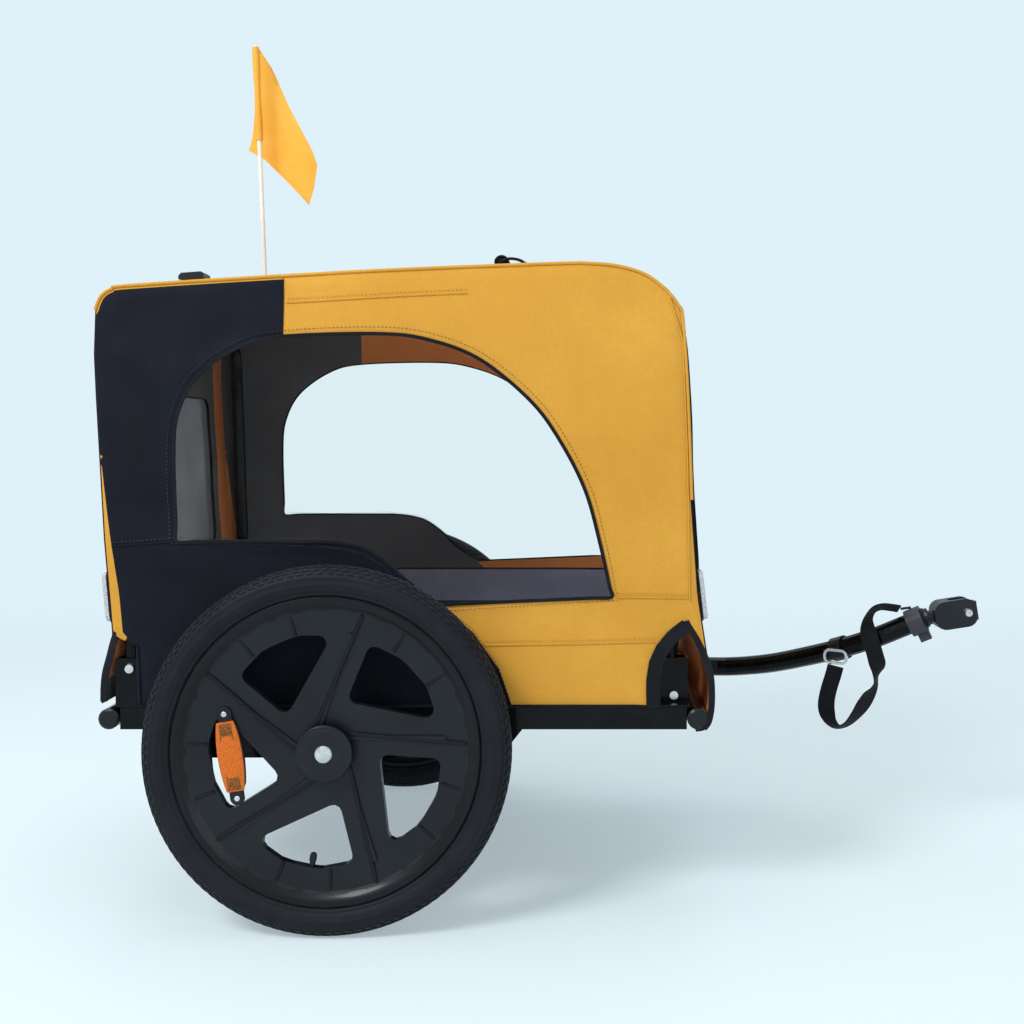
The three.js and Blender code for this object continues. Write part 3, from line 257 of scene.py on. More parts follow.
# Coated polyester cloth, plain woven: matt, with threads that show close up, and it fades in
# broad patches. The coated inner side is duller, and lighter where daylight comes through it.
YELLOW = cloth("yellow_cloth", "#c78f34", "#d0983a", "#dba544", rough=0.72, sheen=0.04, patch=4.0)
YELLOW_IN = cloth("yellow_cloth_inside", "#e08a4a", "#ec985a", "#f2a468", rough=0.85, sheen=0.05)
BLACK = cloth("black_cloth", "#090b13", "#0e111c", "#151a28", rough=0.7, sheen=0.04)
DARK_IN = cloth("black_cloth_inside", "#5a5e63", "#65696e", "#707479", rough=0.9, sheen=0.05)
LINER = cloth("tub_liner_cloth", "#787e92", "#878da2", "#959bb0", rough=0.8, sheen=0.1, patch=12.0)
# Polyester tape and webbing, woven dense and ribbed: the ribs stand out more than cloth's threads
BINDING = cloth("binding_tape", "#0e0f13", "#15171c", "#22252c", pitch=0.0008, rough=0.75, sheen=0.03,
                weave=0.6)
WEBBING = cloth("webbing_tape", "#0b0c0f", "#121317", "#1d1f25", pitch=0.0014, rough=0.7, sheen=0.03,
                weave=0.9)
# Spun polyester thread, too thin for its twist to show, so it has a plain matt surface
THREAD = moulded("sewing_thread", "#2a2c33", "#4a4e58", rough=0.6)
THREAD_Y = moulded("sewing_thread_yellow", "#b98429", "#cb9535", rough=0.6)
# Thin nylon cloth: finely woven and bright, because light comes through it
FLAG = cloth("flag_cloth", "#e6a236", "#f2b043", "#f7bd58", pitch=0.0008, rough=0.65, sheen=0.2)
# Nylon and polypropylene, injection moulded: the mould's grain breaks up their low shine
PLASTIC = moulded("black_moulding", "#0e1116", "#171b22", rough=0.36, shine=0.25)
WHEEL = moulded("wheel_moulding", "#08090c", "#0e1117", rough=0.38, grain=300.0, coat=0.15)
GREY = moulded("grey_moulding", "#34353d", "#454650", rough=0.45)
# Glass fibre rod, drawn through a die, and pressed sheet: both even and nearly matt
POLE = moulded("pole_rod", "#dedbd2", "#f0ede6", rough=0.35)
BOARD = moulded("floor_board_sheet", "#15171d", "#20232b", rough=0.6)
# Steel tube, stove painted: sharp highlights, broken by rub marks
PAINT = painted("gloss_black_paint", "#07080a", "#131418")
# Zinc-plated steel, turned or drawn: bright, with lines that spread the highlights
STEEL = steel("bright_steel_plate")
# Vulcanised rubber: dull, greyed in patches by bloom and dust
RUBBER = rubber("tyre_rubber")
# Moulded acrylic: smooth outside, with a grid of prisms behind it whose flash is painted light in small cells
AMBER = lens("amber_lens", "#b85408", "#ce640c", "#da7416", pitch=0.0016)
AMBER_DARK = lens("amber_lens_hatched", "#4a2a06", "#82490c", "#b0661a", pitch=0.0022)
CLEAR = lens("clear_lens", "#9a9da2", "#b4b7bb", "#cdd0d3", pitch=0.0018)
# Soft vinyl sheet, rolled: clear, with slack ripples that only its gloss shows
FILM = film("window_film_sheet")
# Polyester net, knitted: threads drawn coarser than real ones so that they show
NET = screen("rear_net", "#7c7e84", pitch=0.0026, hole=0.52)


# Meshes

def piece(name, points, faces, mats, body, which=None, uv=None, smooth=40, replaces=(), slot=None):
    """A mesh object from points in part millimetres, riding on a body. which is each face's
    material, uv is in millimetres at each point, and edges past smooth degrees are sharp."""
    mesh = bpy.data.meshes.new(name)
    placed = np.asarray(points, float) / 1000 + (AXLE_X, 0, 0)
    mesh.from_pydata(placed.tolist(), [], [tuple(int(i) for i in face) for face in faces])
    for material in (mats if isinstance(mats, (list, tuple)) else [mats]):
        mesh.materials.append(material)
    if which is not None:
        mesh.polygons.foreach_set("material_index", [int(v) for v in which])
    if uv is not None:
        corners = np.zeros(len(mesh.loops), np.int32)
        mesh.loops.foreach_get("vertex_index", corners)
        layer = mesh.uv_layers.new(name="cloth")
        layer.data.foreach_set("uv", np.asarray(uv, float)[corners].ravel() / 1000)
    mesh.update()
    obj = bpy.data.objects.new(name, mesh)
    bpy.context.scene.collection.objects.link(obj)
    shell = bmesh.new()
    shell.from_mesh(mesh)
    bmesh.ops.recalc_face_normals(shell, faces=shell.faces)
    shell.to_mesh(mesh)
    shell.free()
    if smooth:
        mesh.shade_smooth()
        mesh.set_sharp_from_angle(angle=math.radians(smooth))
    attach(obj, body)
    if replaces:
        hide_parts(*replaces)
    return obj


def grid_faces(rows, columns, close_rows=False, close_columns=False):
    """Quads of a rows x columns grid of points."""
    faces = []
    for i in range(rows if close_rows else rows - 1):
        for j in range(columns if close_columns else columns - 1):
            a, b = i, (i + 1) % rows
            c, d = j, (j + 1) % columns
            faces.append((a * columns + c, a * columns + d, b * columns + d, b * columns + c))
    return faces


def caps(total, sides):
    """The first and the last ring of a grid of points, as the two faces that close it."""
    return [tuple(range(sides)), tuple(range(total - sides, total))]


def bar_faces(rings, sides):
    """The faces of a bar made of rings of points, with both its ends closed."""
    return grid_faces(rings, sides, close_columns=True) + caps(rings * sides, sides)


def spline(points, per=8, closed=False):
    """Points along a Catmull-Rom line through the given points:
    p(t) = 0.5 (2b + (c - a) t + (2a - 5b + 4c - d) t^2 + (3b - a - 3c + d) t^3)."""
    p = np.asarray(points, float)
    count = len(p)
    out = []
    for i in range(count if closed else count - 1):
        if closed:
            a, b, c, d = p[i - 1], p[i], p[(i + 1) % count], p[(i + 2) % count]
        else:
            a, b, c, d = p[max(i - 1, 0)], p[i], p[i + 1], p[min(i + 2, count - 1)]
        for t in np.arange(per) / per:
            out.append(0.5 * (2 * b + (c - a) * t + (2 * a - 5 * b + 4 * c - d) * t ** 2
                              + (3 * b - a - 3 * c + d) * t ** 3))
    if not closed:
        out.append(p[-1])
    return np.array(out)


def run_of(line):
    """Distance along a line at each of its points."""
    steps = np.linalg.norm(np.diff(np.asarray(line, float), axis=0), axis=1)
    return np.concatenate([[0], np.cumsum(steps)])


def frames_along(line, first):
    """Side and up at each point of a line, carried along without twist."""
    tangent = np.gradient(line, axis=0)
    tangent /= np.linalg.norm(tangent, axis=1)[:, None]
    side = np.asarray(first, float)
    sides = []
    for t in tangent:
        side = side - t * np.dot(side, t)
        side = side / np.linalg.norm(side)
        sides.append(side)
    sides = np.array(sides)
    return sides, np.cross(tangent, sides)


def tube(name, line, radius, material, body, sides=24, first=(0, 0, 1), wall=0.0, **more):
    """A round bar, or a tube with a wall, along a line: rings of cos(turn) side + sin(turn) up,
    times the radius."""
    line = np.asarray(line, float)
    side, up = frames_along(line, first)
    radius = np.broadcast_to(radius, len(line))[:, None, None]
    turn = np.linspace(0, 2 * math.pi, sides, endpoint=False)
    outwards = np.cos(turn)[None, :, None] * side[:, None] + np.sin(turn)[None, :, None] * up[:, None]
    rings = [line[:, None] + radius * outwards]
    if wall:
        rings.append((line[:, None] + (radius - wall) * outwards)[::-1])
    points = np.concatenate(rings).reshape(-1, 3)
    faces = grid_faces(len(line) * len(rings), sides, close_rows=bool(wall), close_columns=True)
    if not wall:
        faces += caps(len(points), sides)
    along = run_of(line)
    along = np.concatenate([along, along[::-1]][:len(rings)])
    uv = np.stack(np.broadcast_arrays(turn[None, :] * radius.mean(), along[:, None]), -1).reshape(-1, 2)
    return piece(name, points, faces, material, body, uv=uv, **more)


# A tape's section as shares of half its width and half its thickness, with eased edges
TAPE_SHARES = [(-1, 0), (-0.94, -1), (-0.5, -1), (0, -1), (0.5, -1), (0.94, -1), (1, 0),
               (0.94, 1), (0.5, 1), (0, 1), (-0.5, 1), (-0.94, 1)]


def ribbon(name, line, width, thickness, material, body, first=(0, 0, 1), twist=None, crown=0.0, **more):
    """A flat tape along a line: its section, raised by crown (1 - w^2) at a share w of half its
    width, turned by twist degrees about the line."""
    line = np.asarray(line, float)
    side, up = frames_along(line, first)
    angle = np.radians(np.zeros(len(line)) if twist is None else np.asarray(twist, float))[:, None]
    wide = side * np.cos(angle) + up * np.sin(angle)
    over = -side * np.sin(angle) + up * np.cos(angle)
    rings = [line + wide * w * width / 2 + over * (t * thickness / 2 + crown * (1 - w * w))
             for w, t in TAPE_SHARES]
    points = np.stack(rings, 1).reshape(-1, 3)
    sides = len(TAPE_SHARES)
    faces = bar_faces(len(line), sides)
    over_width = np.array([w for w, _ in TAPE_SHARES]) * width / 2
    uv = np.stack(np.broadcast_arrays(over_width[None, :], run_of(line)[:, None]), -1).reshape(-1, 2)
    return piece(name, points, faces, material, body, uv=uv, **more)


def stitches(name, line, normal, length, space, radius, material, body, **more):
    """A row of stitches: six-sided rods along a line with a space between them, half as thick at
    their ends."""
    line, normal = np.asarray(line, float), np.asarray(normal, float)
    run = run_of(line)
    starts = np.arange(space / 2, run[-1] - length, length + space)
    a, b = (np.stack([np.interp(starts + s, run, line[:, k]) for k in range(3)], 1) for s in (0, length))
    t = (b - a) / np.maximum(np.linalg.norm(b - a, axis=1), 1e-9)[:, None]
    u = normal - t * (t @ normal)[:, None]
    u /= np.linalg.norm(u, axis=1)[:, None]
    v = np.cross(t, u)
    sides = 6
    turn = (np.arange(sides) * 2 * math.pi / sides)[None, :, None]
    ring = (u[:, None] * np.cos(turn) + v[:, None] * np.sin(turn)) * radius
    ends = ((a, 0.5), (a + t * length * 0.2, 1), (b - t * length * 0.2, 1), (b, 0.5))
    points = np.stack([end[:, None] + ring * shrink for end, shrink in ends], 1).reshape(-1, 3)
    each = sides * len(ends)
    one = bar_faces(len(ends), sides)
    faces = [tuple(i + each * k for i in face) for k in range(len(starts)) for face in one]
    return piece(name, points, faces, material, body, **more)


def inside(points, outline):
    """True for each point that lies inside the outline."""
    x, y = np.asarray(points, float).T
    result = np.zeros(len(x), bool)
    ring = np.asarray(outline, float)
    for (x0, y0), (x1, y1) in zip(ring, np.roll(ring, -1, axis=0)):
        crosses = (y0 > y) != (y1 > y)
        with np.errstate(divide="ignore", invalid="ignore"):
            cut = x0 + (y - y0) * (x1 - x0) / (y1 - y0)
        result ^= crosses & (x < cut)
    return result


def gap_to(points, line, closed=True):
    """Distance from each point to a line of points."""
    p = np.asarray(points, float)
    ring = np.asarray(line, float)
    best = np.full(len(p), np.inf)
    ends = np.roll(ring, -1, axis=0) if closed else ring[1:]
    for a, b in zip(ring, ends):
        d = b - a
        t = np.clip(((p - a) @ d) / max(d @ d, 1e-9), 0, 1)
        best = np.minimum(best, np.linalg.norm(p - a - t[:, None] * d, axis=1))
    return best


def flat_mesh(lines, spacing, keep):
    """Points and triangles of the plane, with every given line among their edges: each line comes
    with True if it is closed, and keep(middles) tells which triangles stay."""
    fixed, edges = [], []
    for line, closed in lines:
        base = len(fixed)
        fixed.extend(map(tuple, line))
        edges.extend((base + i, base + i + 1) for i in range(len(line) - 1))
        if closed:
            edges.append((base + len(line) - 1, base))
    ring = np.array(fixed)
    low, high = ring.min(0), ring.max(0)
    row_share = 0.866
    rows = np.arange(low[1], high[1], spacing * row_share)
    spread = np.array([(x + (i % 2) * spacing / 2, y) for i, y in enumerate(rows)
                       for x in np.arange(low[0], high[0], spacing)])
    near = np.full(len(spread), np.inf)
    for line, closed in lines:
        near = np.minimum(near, gap_to(spread, line, closed))
    spread = spread[near > spacing * 0.5]
    everything = [Vector(p) for p in fixed] + [Vector(p) for p in spread]
    found = delaunay_2d_cdt(everything, edges, [], 0, 1e-4)
    points = np.array([tuple(p) for p in found[0]])
    faces = np.array([f for f in found[2] if len(f) == 3])
    faces = faces[keep(points[faces].mean(1))]
    used, back = np.unique(faces.ravel(), return_inverse=True)
    return points[used], back.reshape(faces.shape)


def open_edges(faces):
    """The edges that only one triangle has, each in the direction that it has there."""
    edges = np.concatenate([faces[:, [0, 1]], faces[:, [1, 2]], faces[:, [2, 0]]])
    _, first, count = np.unique(np.sort(edges, 1), axis=0, return_index=True, return_counts=True)
    return edges[first[count == 1]]


def thick(name, points, faces, offset, mats, body, uv, which=None, **more):
    """A cloth piece: the given surface, and a copy of it moved by offset, joined round the edges.
    The first half of mats is for the outer side, where which picks one for each face, and the
    second half is for the inner side. The edges take the last outer one."""
    count, outer_mats = len(points), len(mats) // 2
    rim = open_edges(faces)
    outer = np.zeros(len(faces), int) if which is None else np.asarray(which, int)
    every = faces.tolist() + (faces[:, ::-1] + count).tolist()
    every += np.stack([rim[:, 1], rim[:, 0], rim[:, 0] + count, rim[:, 1] + count], 1).tolist()
    chosen = np.concatenate([outer, outer + outer_mats, np.full(len(rim), outer_mats - 1)])
    return piece(name, np.concatenate([points, points + offset]), every, mats, body, which=chosen,
                 uv=np.concatenate([uv, uv]), **more)


def drape(u, v, seed):
    """Slow waves over a cloth, about -1 to 1: the weighted sum of five sine products whose lengths
    run from 500 to 130 mm and whose directions and phases come from the seed."""
    total = 0
    for k in range(5):
        turn, phase, rate = seed * 2.3 + k * 1.9, seed * 5.1 + k * 2.7, 0.0125 * 1.4 ** k
        along = u * math.cos(turn) + v * math.sin(turn)
        over = v * math.cos(turn) - u * math.sin(turn)
        total = total + np.sin(along * rate + phase) * np.cos(over * rate * 0.7 + 2 * phase) / 1.25 ** k
    return total / 2.2


# Camera, light and floor

PALE = linear("#dff1f9")
FLOOR_WIDE = 9
# The floor's section in metres, as distance back and height: it curves up into the backdrop
FLOOR_SECTION = [(-6, 0), (3.0, 0), (3.6, 0.08), (4.1, 0.3), (4.5, 0.7), (4.7, 1.2), (4.7, 6)]


def background_rays(tree):
    """1 for camera, glossy and transmission rays, which see the pale background, 0 for the others."""
    rays = add(tree, "LightPath").node.outputs
    seen = rays["Is Camera Ray"]
    for name in ("Is Glossy Ray", "Is Transmission Ray"):
        seen = add(tree, "Math", {0: seen, 1: rays[name]}, operation="MAXIMUM")
    return seen


def area(name, place, aim, size, power):
    """A square lamp in metres and watts, turned to its aim."""
    light = bpy.data.lights.new(name, "AREA")
    light.shape = "RECTANGLE"
    light.size = light.size_y = size
    light.energy = power
    lamp = bpy.data.objects.new(name, light)
    bpy.context.scene.collection.objects.link(lamp)
    lamp.location = place
    lamp.rotation_euler = (Vector(aim) - Vector(place)).to_track_quat("-Z", "Y").to_euler()


def backdrop():
    """The pale floor, which takes shadows near the trailer and glows evenly further back: the share
    of its own light is 0.42 + 0.32 (distance back in metres - 0.9), from 0.42 to 1."""
    material, tree, shader = blank("floor_pale")
    fill(shader, {"Base Color": linear("#ecf8fd"), "Roughness": 0.7, "Specular IOR Level": 0.1})
    back = add(tree, "SeparateXYZ", {0: add(tree, "TexCoord", out="Object")}, out="Y")
    past = add(tree, "Math", {0: back, 1: -0.9}, operation="ADD")
    past = add(tree, "Math", {0: past, 1: 0.0}, operation="MAXIMUM")
    grown = add(tree, "Math", {0: past, 1: 0.32}, operation="MULTIPLY")
    share = add(tree, "Math", {0: grown, 1: 0.42}, operation="ADD")
    share = add(tree, "Math", {0: share, 1: 1.0}, operation="MINIMUM")
    seen = add(tree, "Math", {0: background_rays(tree), 1: share}, operation="MULTIPLY")
    glow = add(tree, "Emission", {"Color": PALE, "Strength": 1.0})
    both = add(tree, "MixShader", {0: seen, 1: shader.outputs[0], 2: glow})
    fill(tree.nodes["Material Output"], {"Surface": both})
    mesh = bpy.data.meshes.new("studio_floor")
    points = [(x, y, z) for y, z in FLOOR_SECTION for x in (-FLOOR_WIDE, FLOOR_WIDE)]
    strips = [(2 * i, 2 * i + 1, 2 * i + 3, 2 * i + 2) for i in range(len(FLOOR_SECTION) - 1)]
    mesh.from_pydata(points, [], strips)
    mesh.materials.append(material)
    obj = bpy.data.objects.new("studio_floor", mesh)
    bpy.context.scene.collection.objects.link(obj)
    mesh.shade_smooth()


def studio():
    """The photograph's camera, the pale world and soft light."""
    scene = bpy.context.scene
    data = bpy.data.cameras.new("camera")
    camera = bpy.data.objects.new("camera", data)
    scene.collection.objects.link(camera)
    camera.location = spot(*CAMERA)
    camera.rotation_euler = (math.pi / 2, 0, 0)
    data.sensor_width = SENSOR
    data.lens = SENSOR * FOCAL_PX / PHOTO_PX
    data.shift_x = (PHOTO_PX / 2 - CENTRE_PX[0]) / PHOTO_PX
    data.shift_y = (CENTRE_PX[1] - PHOTO_PX / 2) / PHOTO_PX
    scene.camera = camera
    scene.view_settings.view_transform = "Standard"

    world = bpy.data.worlds.new("studio")
    scene.world = world
    world.use_nodes = True
    tree = world.node_tree
    lit = tree.nodes["Background"]
    fill(lit, {"Color": (0.93, 0.96, 1, 1), "Strength": 0.5})
    seen = add(tree, "Background", {"Color": PALE, "Strength": 1.0})
    both = add(tree, "MixShader", {0: background_rays(tree), 1: lit.outputs[0], 2: seen})
    fill(tree.nodes["World Output"], {"Surface": both})

    area("key", (-1.9, -2.3, 2.9), (0, 0, 0.45), 1.1, 92)
    area("fill", (1.6, -2.6, 1.3), (0, 0, 0.5), 1.6, 14)
    area("top", (-0.2, 0.5, 3.2), (0, 0, 0.5), 2.4, 30)
    backdrop()


studio()


# Wheels

TYRE_Y, AXLE_Z = 335.7, 247.5
TYRE_RADIUS = 247.45
SPOKES, SPOKE_PITCH = 5, 72
TREAD_BLOCKS = 112

# Profiles as pairs of radius and distance outwards
TYRE_OUTER = [
    (200.6, 12.4), (206.4, 13.3), (208.2, 15.2), (209.6, 17.2), (211.4, 18.0), (212.6, 17.9), (213.4, 18.9),
    (216, 20.6), (220, 22.3), (222.4, 22.9), (223, 23.3), (224.4, 23.4), (225, 23.1), (229, 23.2),
    (231.5, 22.8), (232.2, 23.0), (233.4, 22.7), (234, 22.0), (237.4, 20.2), (240.4, 17.5), (243, 14),
    (244.8, 10), (245.8, 5), (246.1, 0),
]
TYRE_INNER = [(241.5, 0), (236, 16), (226, 19), (212, 14), (204, 10), (200.6, 9)]
CROWN_RADIUS = 232.2
RIM = [
    (202.5, 17.6), (205, 17.4), (206.2, 16.4), (206.2, 14), (204, 13.7), (200.2, 13.5), (200, 9.2),
    (191, 5.6), (191, -5.6), (200, -9.2), (200.2, -13.5), (206.2, -14), (206.2, -16.4), (205, -17.4),
    (202.5, -17.6), (199, -16.8), (195, -12.5), (186, -9.4), (170, -7.4), (160, -6.6), (157.5, -5.6),
    (157, -3), (157, 3), (158, 6.0), (161, 6.6), (166, 5.6), (173, 5.0), (181, 6.2), (188, 9.4),
    (193.5, 13.2), (197, 16.4),
]
HUB = [
    (14.3, -23), (24.5, -23), (26, -21.5), (29, -12), (33, -4), (36.5, 0), (36.5, 6), (34.5, 10),
    (33.6, 16), (32.8, 19.4), (31.5, 20), (14.3, 20),
]
HUB_CAP = [
    (6.3, 20.3), (36.4, 20.3), (37.6, 20.9), (38, 22.2), (37.6, 24.4), (36.2, 25.6), (34.6, 25.9),
    (33.8, 25.5), (32.9, 25.5), (32.2, 26.0), (24, 26.7), (15, 26.9), (14.2, 26.4), (6.3, 26.4),
]
AXLE_DOME = [
    (0.4, 29.2), (4, 29.0), (7.6, 28.2), (9.6, 27.3), (10.2, 26.9), (11.3, 26.8), (11.5, 26.4),
    (11.4, 26.2), (0.4, 26.2),
]


def seat(points, side):
    """Points of a wheel, built about its own axis with the outer face towards -Y, put in place."""
    p = np.asarray(points, float)
    if side == "right":
        return p + (0, -TYRE_Y, AXLE_Z)
    return p * (-1, -1, 1) + (0, TYRE_Y, AXLE_Z)


def polar(radius, degrees, out=0.0):
    """A wheel point at a radius and an angle, out millimetres outwards."""
    return (radius * math.cos(math.radians(degrees)), -out, radius * math.sin(math.radians(degrees)))


def turned(radius, turn, out):
    """Rows of wheel points at a radius, a turn in radians and a distance outwards."""
    rows = np.broadcast_arrays(radius * np.cos(turn), -out, radius * np.sin(turn))
    return np.stack(rows, -1).reshape(-1, 3)


def lathe(name, profile, side, material, segments=144, closed=True, **more):
    """A profile of (radius, outwards) pairs turned round the wheel's axis."""
    turn = np.linspace(0, 2 * math.pi, segments, endpoint=False)
    r, a = np.asarray(profile, float).T[:, :, None]
    points = turned(r, turn, a)
    faces = grid_faces(len(profile), segments, close_rows=closed, close_columns=True)
    if not closed:
        faces += caps(len(points), segments)
    return piece(name, seat(points, side), faces, material, f"wheel_{side}", **more)


def tread(side):
    """Tread blocks in seven rows: skewed bricks with eased tops, each seated on the tyre's crown
    along the crown's own normal."""
    crown = np.array([p for p in TYRE_OUTER if p[0] >= CROWN_RADIUS])
    crown = np.concatenate([crown, (crown * (1, -1))[::-1][1:]])
    slope = np.gradient(crown, axis=0)
    order = np.argsort(crown[:, 1])
    # place across, width, length, skew, and the row's shift as a share of a block's pitch
    rows = [(0, 6.2, 9.0, 0.35, 0.0), (7.6, 6.0, 9.4, -0.4, 0.5), (-7.6, 6.0, 9.4, 0.4, 0.5),
            (14.3, 5.2, 8.6, 0.5, 0.0), (-14.3, 5.2, 8.6, -0.5, 0.0), (19.2, 3.6, 9.2, 0.6, 0.5),
            (-19.2, 3.6, 9.2, -0.6, 0.5)]
    u, v = np.array([(-1, -1), (1, -1), (1, 1), (-1, 1)]).T[:, None, None, :]
    height, ease = np.array([(-0.6, 1.0), (0.95, 1.0), (1.3, 0.86)]).T[:, None, :, None]
    blocks = np.arange(TREAD_BLOCKS)[:, None, None]
    points = []
    for across_tyre, wide, long, skew, shift in rows:
        r0, dr, da = (np.interp(across_tyre, crown[order, 1], values[order])
                      for values in (crown[:, 0], slope[:, 0], slope[:, 1]))
        size = math.hypot(dr, da)
        tr, ta = dr / size, da / size
        nr, na = abs(ta), (-tr if ta > 0 else tr)
        s = v * wide / 2 * ease
        r = np.minimum(r0 + tr * s + nr * height, TYRE_RADIUS)
        a = across_tyre + ta * s + na * height
        middle = (blocks + shift) * 2 * math.pi / TREAD_BLOCKS
        turn = middle + (u * long / 2 * ease + skew * v * wide / 2) / r0
        points.append(turned(r, turn, a))
    points = np.concatenate(points)
    corners, levels = 4, 3
    each = corners * levels
    one = np.array(grid_faces(levels, corners, close_columns=True) + [tuple(range(each - corners, each))])
    faces = (one[None] + np.arange(len(points) // each)[:, None, None] * each).reshape(-1, 4)
    return piece(f"tread_{side}", seat(points, side), faces, RUBBER, f"wheel_{side}", slot="tyre_rubber")


def fin(start, end, wide, low, high):
    """The twelve points of a bar between two wheel points, from low to high outwards, with its top
    0.7 of its width."""
    a, b = np.array(start), np.array(end)
    t = (b - a) / np.linalg.norm(b - a)
    n = np.array((-t[2], 0, t[0])) * wide / 2
    section = [(-1, low), (-1, high - 0.8), (-0.7, high), (0.7, high), (1, high - 0.8), (1, low)]
    return np.array([foot + n * s - (0, out, 0) for foot in (a, b) for s, out in section])


def fins(side):
    """The web's ribs: two short ones on the rim for each spoke, and the ridge along it."""
    # Radius and degrees at the two ends of each, and its width and where it stands outwards
    short = [((159, turn), (189, turn), (4.4, 3.0, 9.2)) for turn in (33, 56)]
    ridge = ((38, 37), (187, 3), (5.0, 5.0, 11.0))
    bars = []
    for k in range(SPOKES):
        for start, end, size in short + [ridge]:
            ends = [polar(radius, turn + SPOKE_PITCH * k) for radius, turn in (start, end)]
            bars.append(fin(*ends, *size))
    each = len(bars[0])
    one = bar_faces(2, each // 2)
    faces = [tuple(i + each * k for i in face) for k in range(len(bars)) for face in one]
    piece(f"rim_fins_{side}", seat(np.concatenate(bars), side), faces, WHEEL, f"wheel_{side}",
          slot="wheel_plastic")


def wheel_reflector(side):
    """The amber reflector in one opening: a black back with two screwed tabs, a crowned lens and its
    two hatched patches. The outline is 66 cos u along by 18 |sin u|^0.8 (1 - 0.18 cos^2 u) across."""
    body = f"wheel_{side}"
    centre = np.array(polar(127, 183))
    tilt = math.radians(9)
    long = np.array((-math.sin(tilt), 0, math.cos(tilt)))
    wide = np.array((math.cos(tilt), 0, math.sin(tilt)))

    def level(outline, out, share=1.0):
        """An outline of (along, across) pairs, drawn in to a share and out millimetres outwards."""
        return centre + (outline[:, :1] * long + outline[:, 1:] * wide) * share - (0, out, 0)

    def blade(name, outline, low, high, material, rise, **more):
        """A flat-backed moulding: an outline of (along, across) pairs, crowned by rise."""
        levels = [(1.0, low), (1.0, high - 0.8), (0.93, high), (0.5, high + rise * 0.75), (0.02, high + rise)]
        points = np.concatenate([level(outline, out, share) for share, out in levels])
        faces = bar_faces(len(levels), len(outline))
        piece(name, seat(points, side), faces, material, body, **more)

    u = np.linspace(0, 2 * math.pi, 40, endpoint=False)
    width = 18.0 * np.abs(np.sin(u)) ** 0.8 * (1 - 0.18 * np.cos(u) ** 2)
    spindle = np.stack([np.cos(u) * 66, np.sign(np.sin(u)) * width], 1)
    tabs = spindle * (1.0, 0.98)
    narrow = np.sign(tabs[:, 1]) * np.minimum(np.abs(tabs[:, 1]) + 1.5, 9.5)
    tabs[:, 1] = np.where(np.abs(tabs[:, 0]) > 46, narrow, tabs[:, 1])
    blade(f"reflector_back_{side}", tabs, 7.6, 11.2, PLASTIC, 0.4, replaces=[f"wheel_reflector_{side}"],
          slot="fittings_plastic")
    blade(f"reflector_lens_{side}", spindle[np.abs(spindle[:, 0]) < 49] * (1, 0.92), 11.0, 14.2, AMBER, 1.2,
          slot="amber_lens", smooth=30)
    for k, shift in (("top", 33), ("low", -33)):
        patch = np.array([(shift - 11, -9), (shift + 11, -8), (shift + 11, 8), (shift - 11, 9)])
        points = np.concatenate([level(patch, out) for out in (14.0, 14.9)])
        piece(f"reflector_hatch_{k}_{side}", seat(points, side), bar_faces(2, 4), AMBER_DARK, body,
              slot="amber_lens")
        screw = centre + long * (shift * 1.72)
        line = np.array([screw - (0, out, 0) for out in (10.8, 12.2, 12.9)])
        tube(f"reflector_screw_{k}_{side}", seat(line, side), np.array([3.6, 3.6, 2.4]), STEEL, body,
             sides=20, first=(1, 0, 0), slot="bright_steel")


def wheel(side):
    """One wheel round the CAD's own disc: tyre with tread, moulded rim, hub and ribs, hub cap, end
    of the axle, valve and reflector."""
    mirror = [(r, -a) for r, a in TYRE_OUTER]
    loop = TYRE_OUTER + mirror[::-1][1:] + [(r, -a) for r, a in TYRE_INNER][::-1] + TYRE_INNER[1:]
    lathe(f"tyre_{side}_cased", loop, side, RUBBER, 180, replaces=[f"tyre_{side}"], slot="tyre_rubber",
          smooth=35)
    tread(side)
    lathe(f"rim_{side}", RIM, side, WHEEL, 192, slot="wheel_plastic", smooth=32)
    lathe(f"hub_{side}", HUB, side, WHEEL, 96, slot="wheel_plastic")
    fins(side)
    lathe(f"hub_cap_{side}_turned", HUB_CAP, side, PLASTIC, 96, replaces=[f"hub_cap_{side}"],
          slot="wheel_plastic")
    lathe(f"axle_dome_{side}", AXLE_DOME, side, STEEL, 48, closed=False, slot="bright_steel")
    stem = np.array([polar(r, -97.5, 0.5) for r in (172, 160, 150, 149.9, 143, 140)])
    tube(f"valve_{side}", seat(stem, side), np.array([4.4, 4.2, 4.0, 4.9, 4.9, 3.6]), PLASTIC,
         f"wheel_{side}", sides=16, first=(0, 1, 0))
    wheel_reflector(side)


for hand in ("right", "left"):
    wheel(hand)


# Cabin cloth

CABIN_X, CABIN_LONG = -336, 829
CABIN_Z, CABIN_HIGH = 293, 614
CLOTH_Y = 285.0
CLOTH_THICK = 1.8
# Half the width of the roof, front and rear cloths, between the side seams
PANEL_HALF = 282
# Width of the yellow strip under the roof's edge, above the black rear quarter
PIPED = 5.0
# The black parts of a side end here: the rear quarter, and the panel round the wheel
QUARTER_X, ARCH_X = -72.9, 243
# The flag's pole, beside the left cloth: its foot, and how far it leans back for each mm upwards
POLE_X, POLE_Z, POLE_LEAN = -226, 262, 0.0413


def cabin_points(shares):
    """Shares of the cabin's length and height as part millimetres (X, Z)."""
    return [(CABIN_X + u * CABIN_LONG, CABIN_Z + v * CABIN_HIGH) for u, v in shares]


def photo_points(pixels, y=-CLOTH_Y):
    """The points (X, Z) under pixels of the photograph, at a place y across the trailer."""
    scale = FOCAL_PX / (y - CAMERA[1])
    return [(CAMERA[0] + (px - CENTRE_PX[0]) / scale, CAMERA[2] - (py - CENTRE_PX[1]) / scale)
            for px, py in pixels]


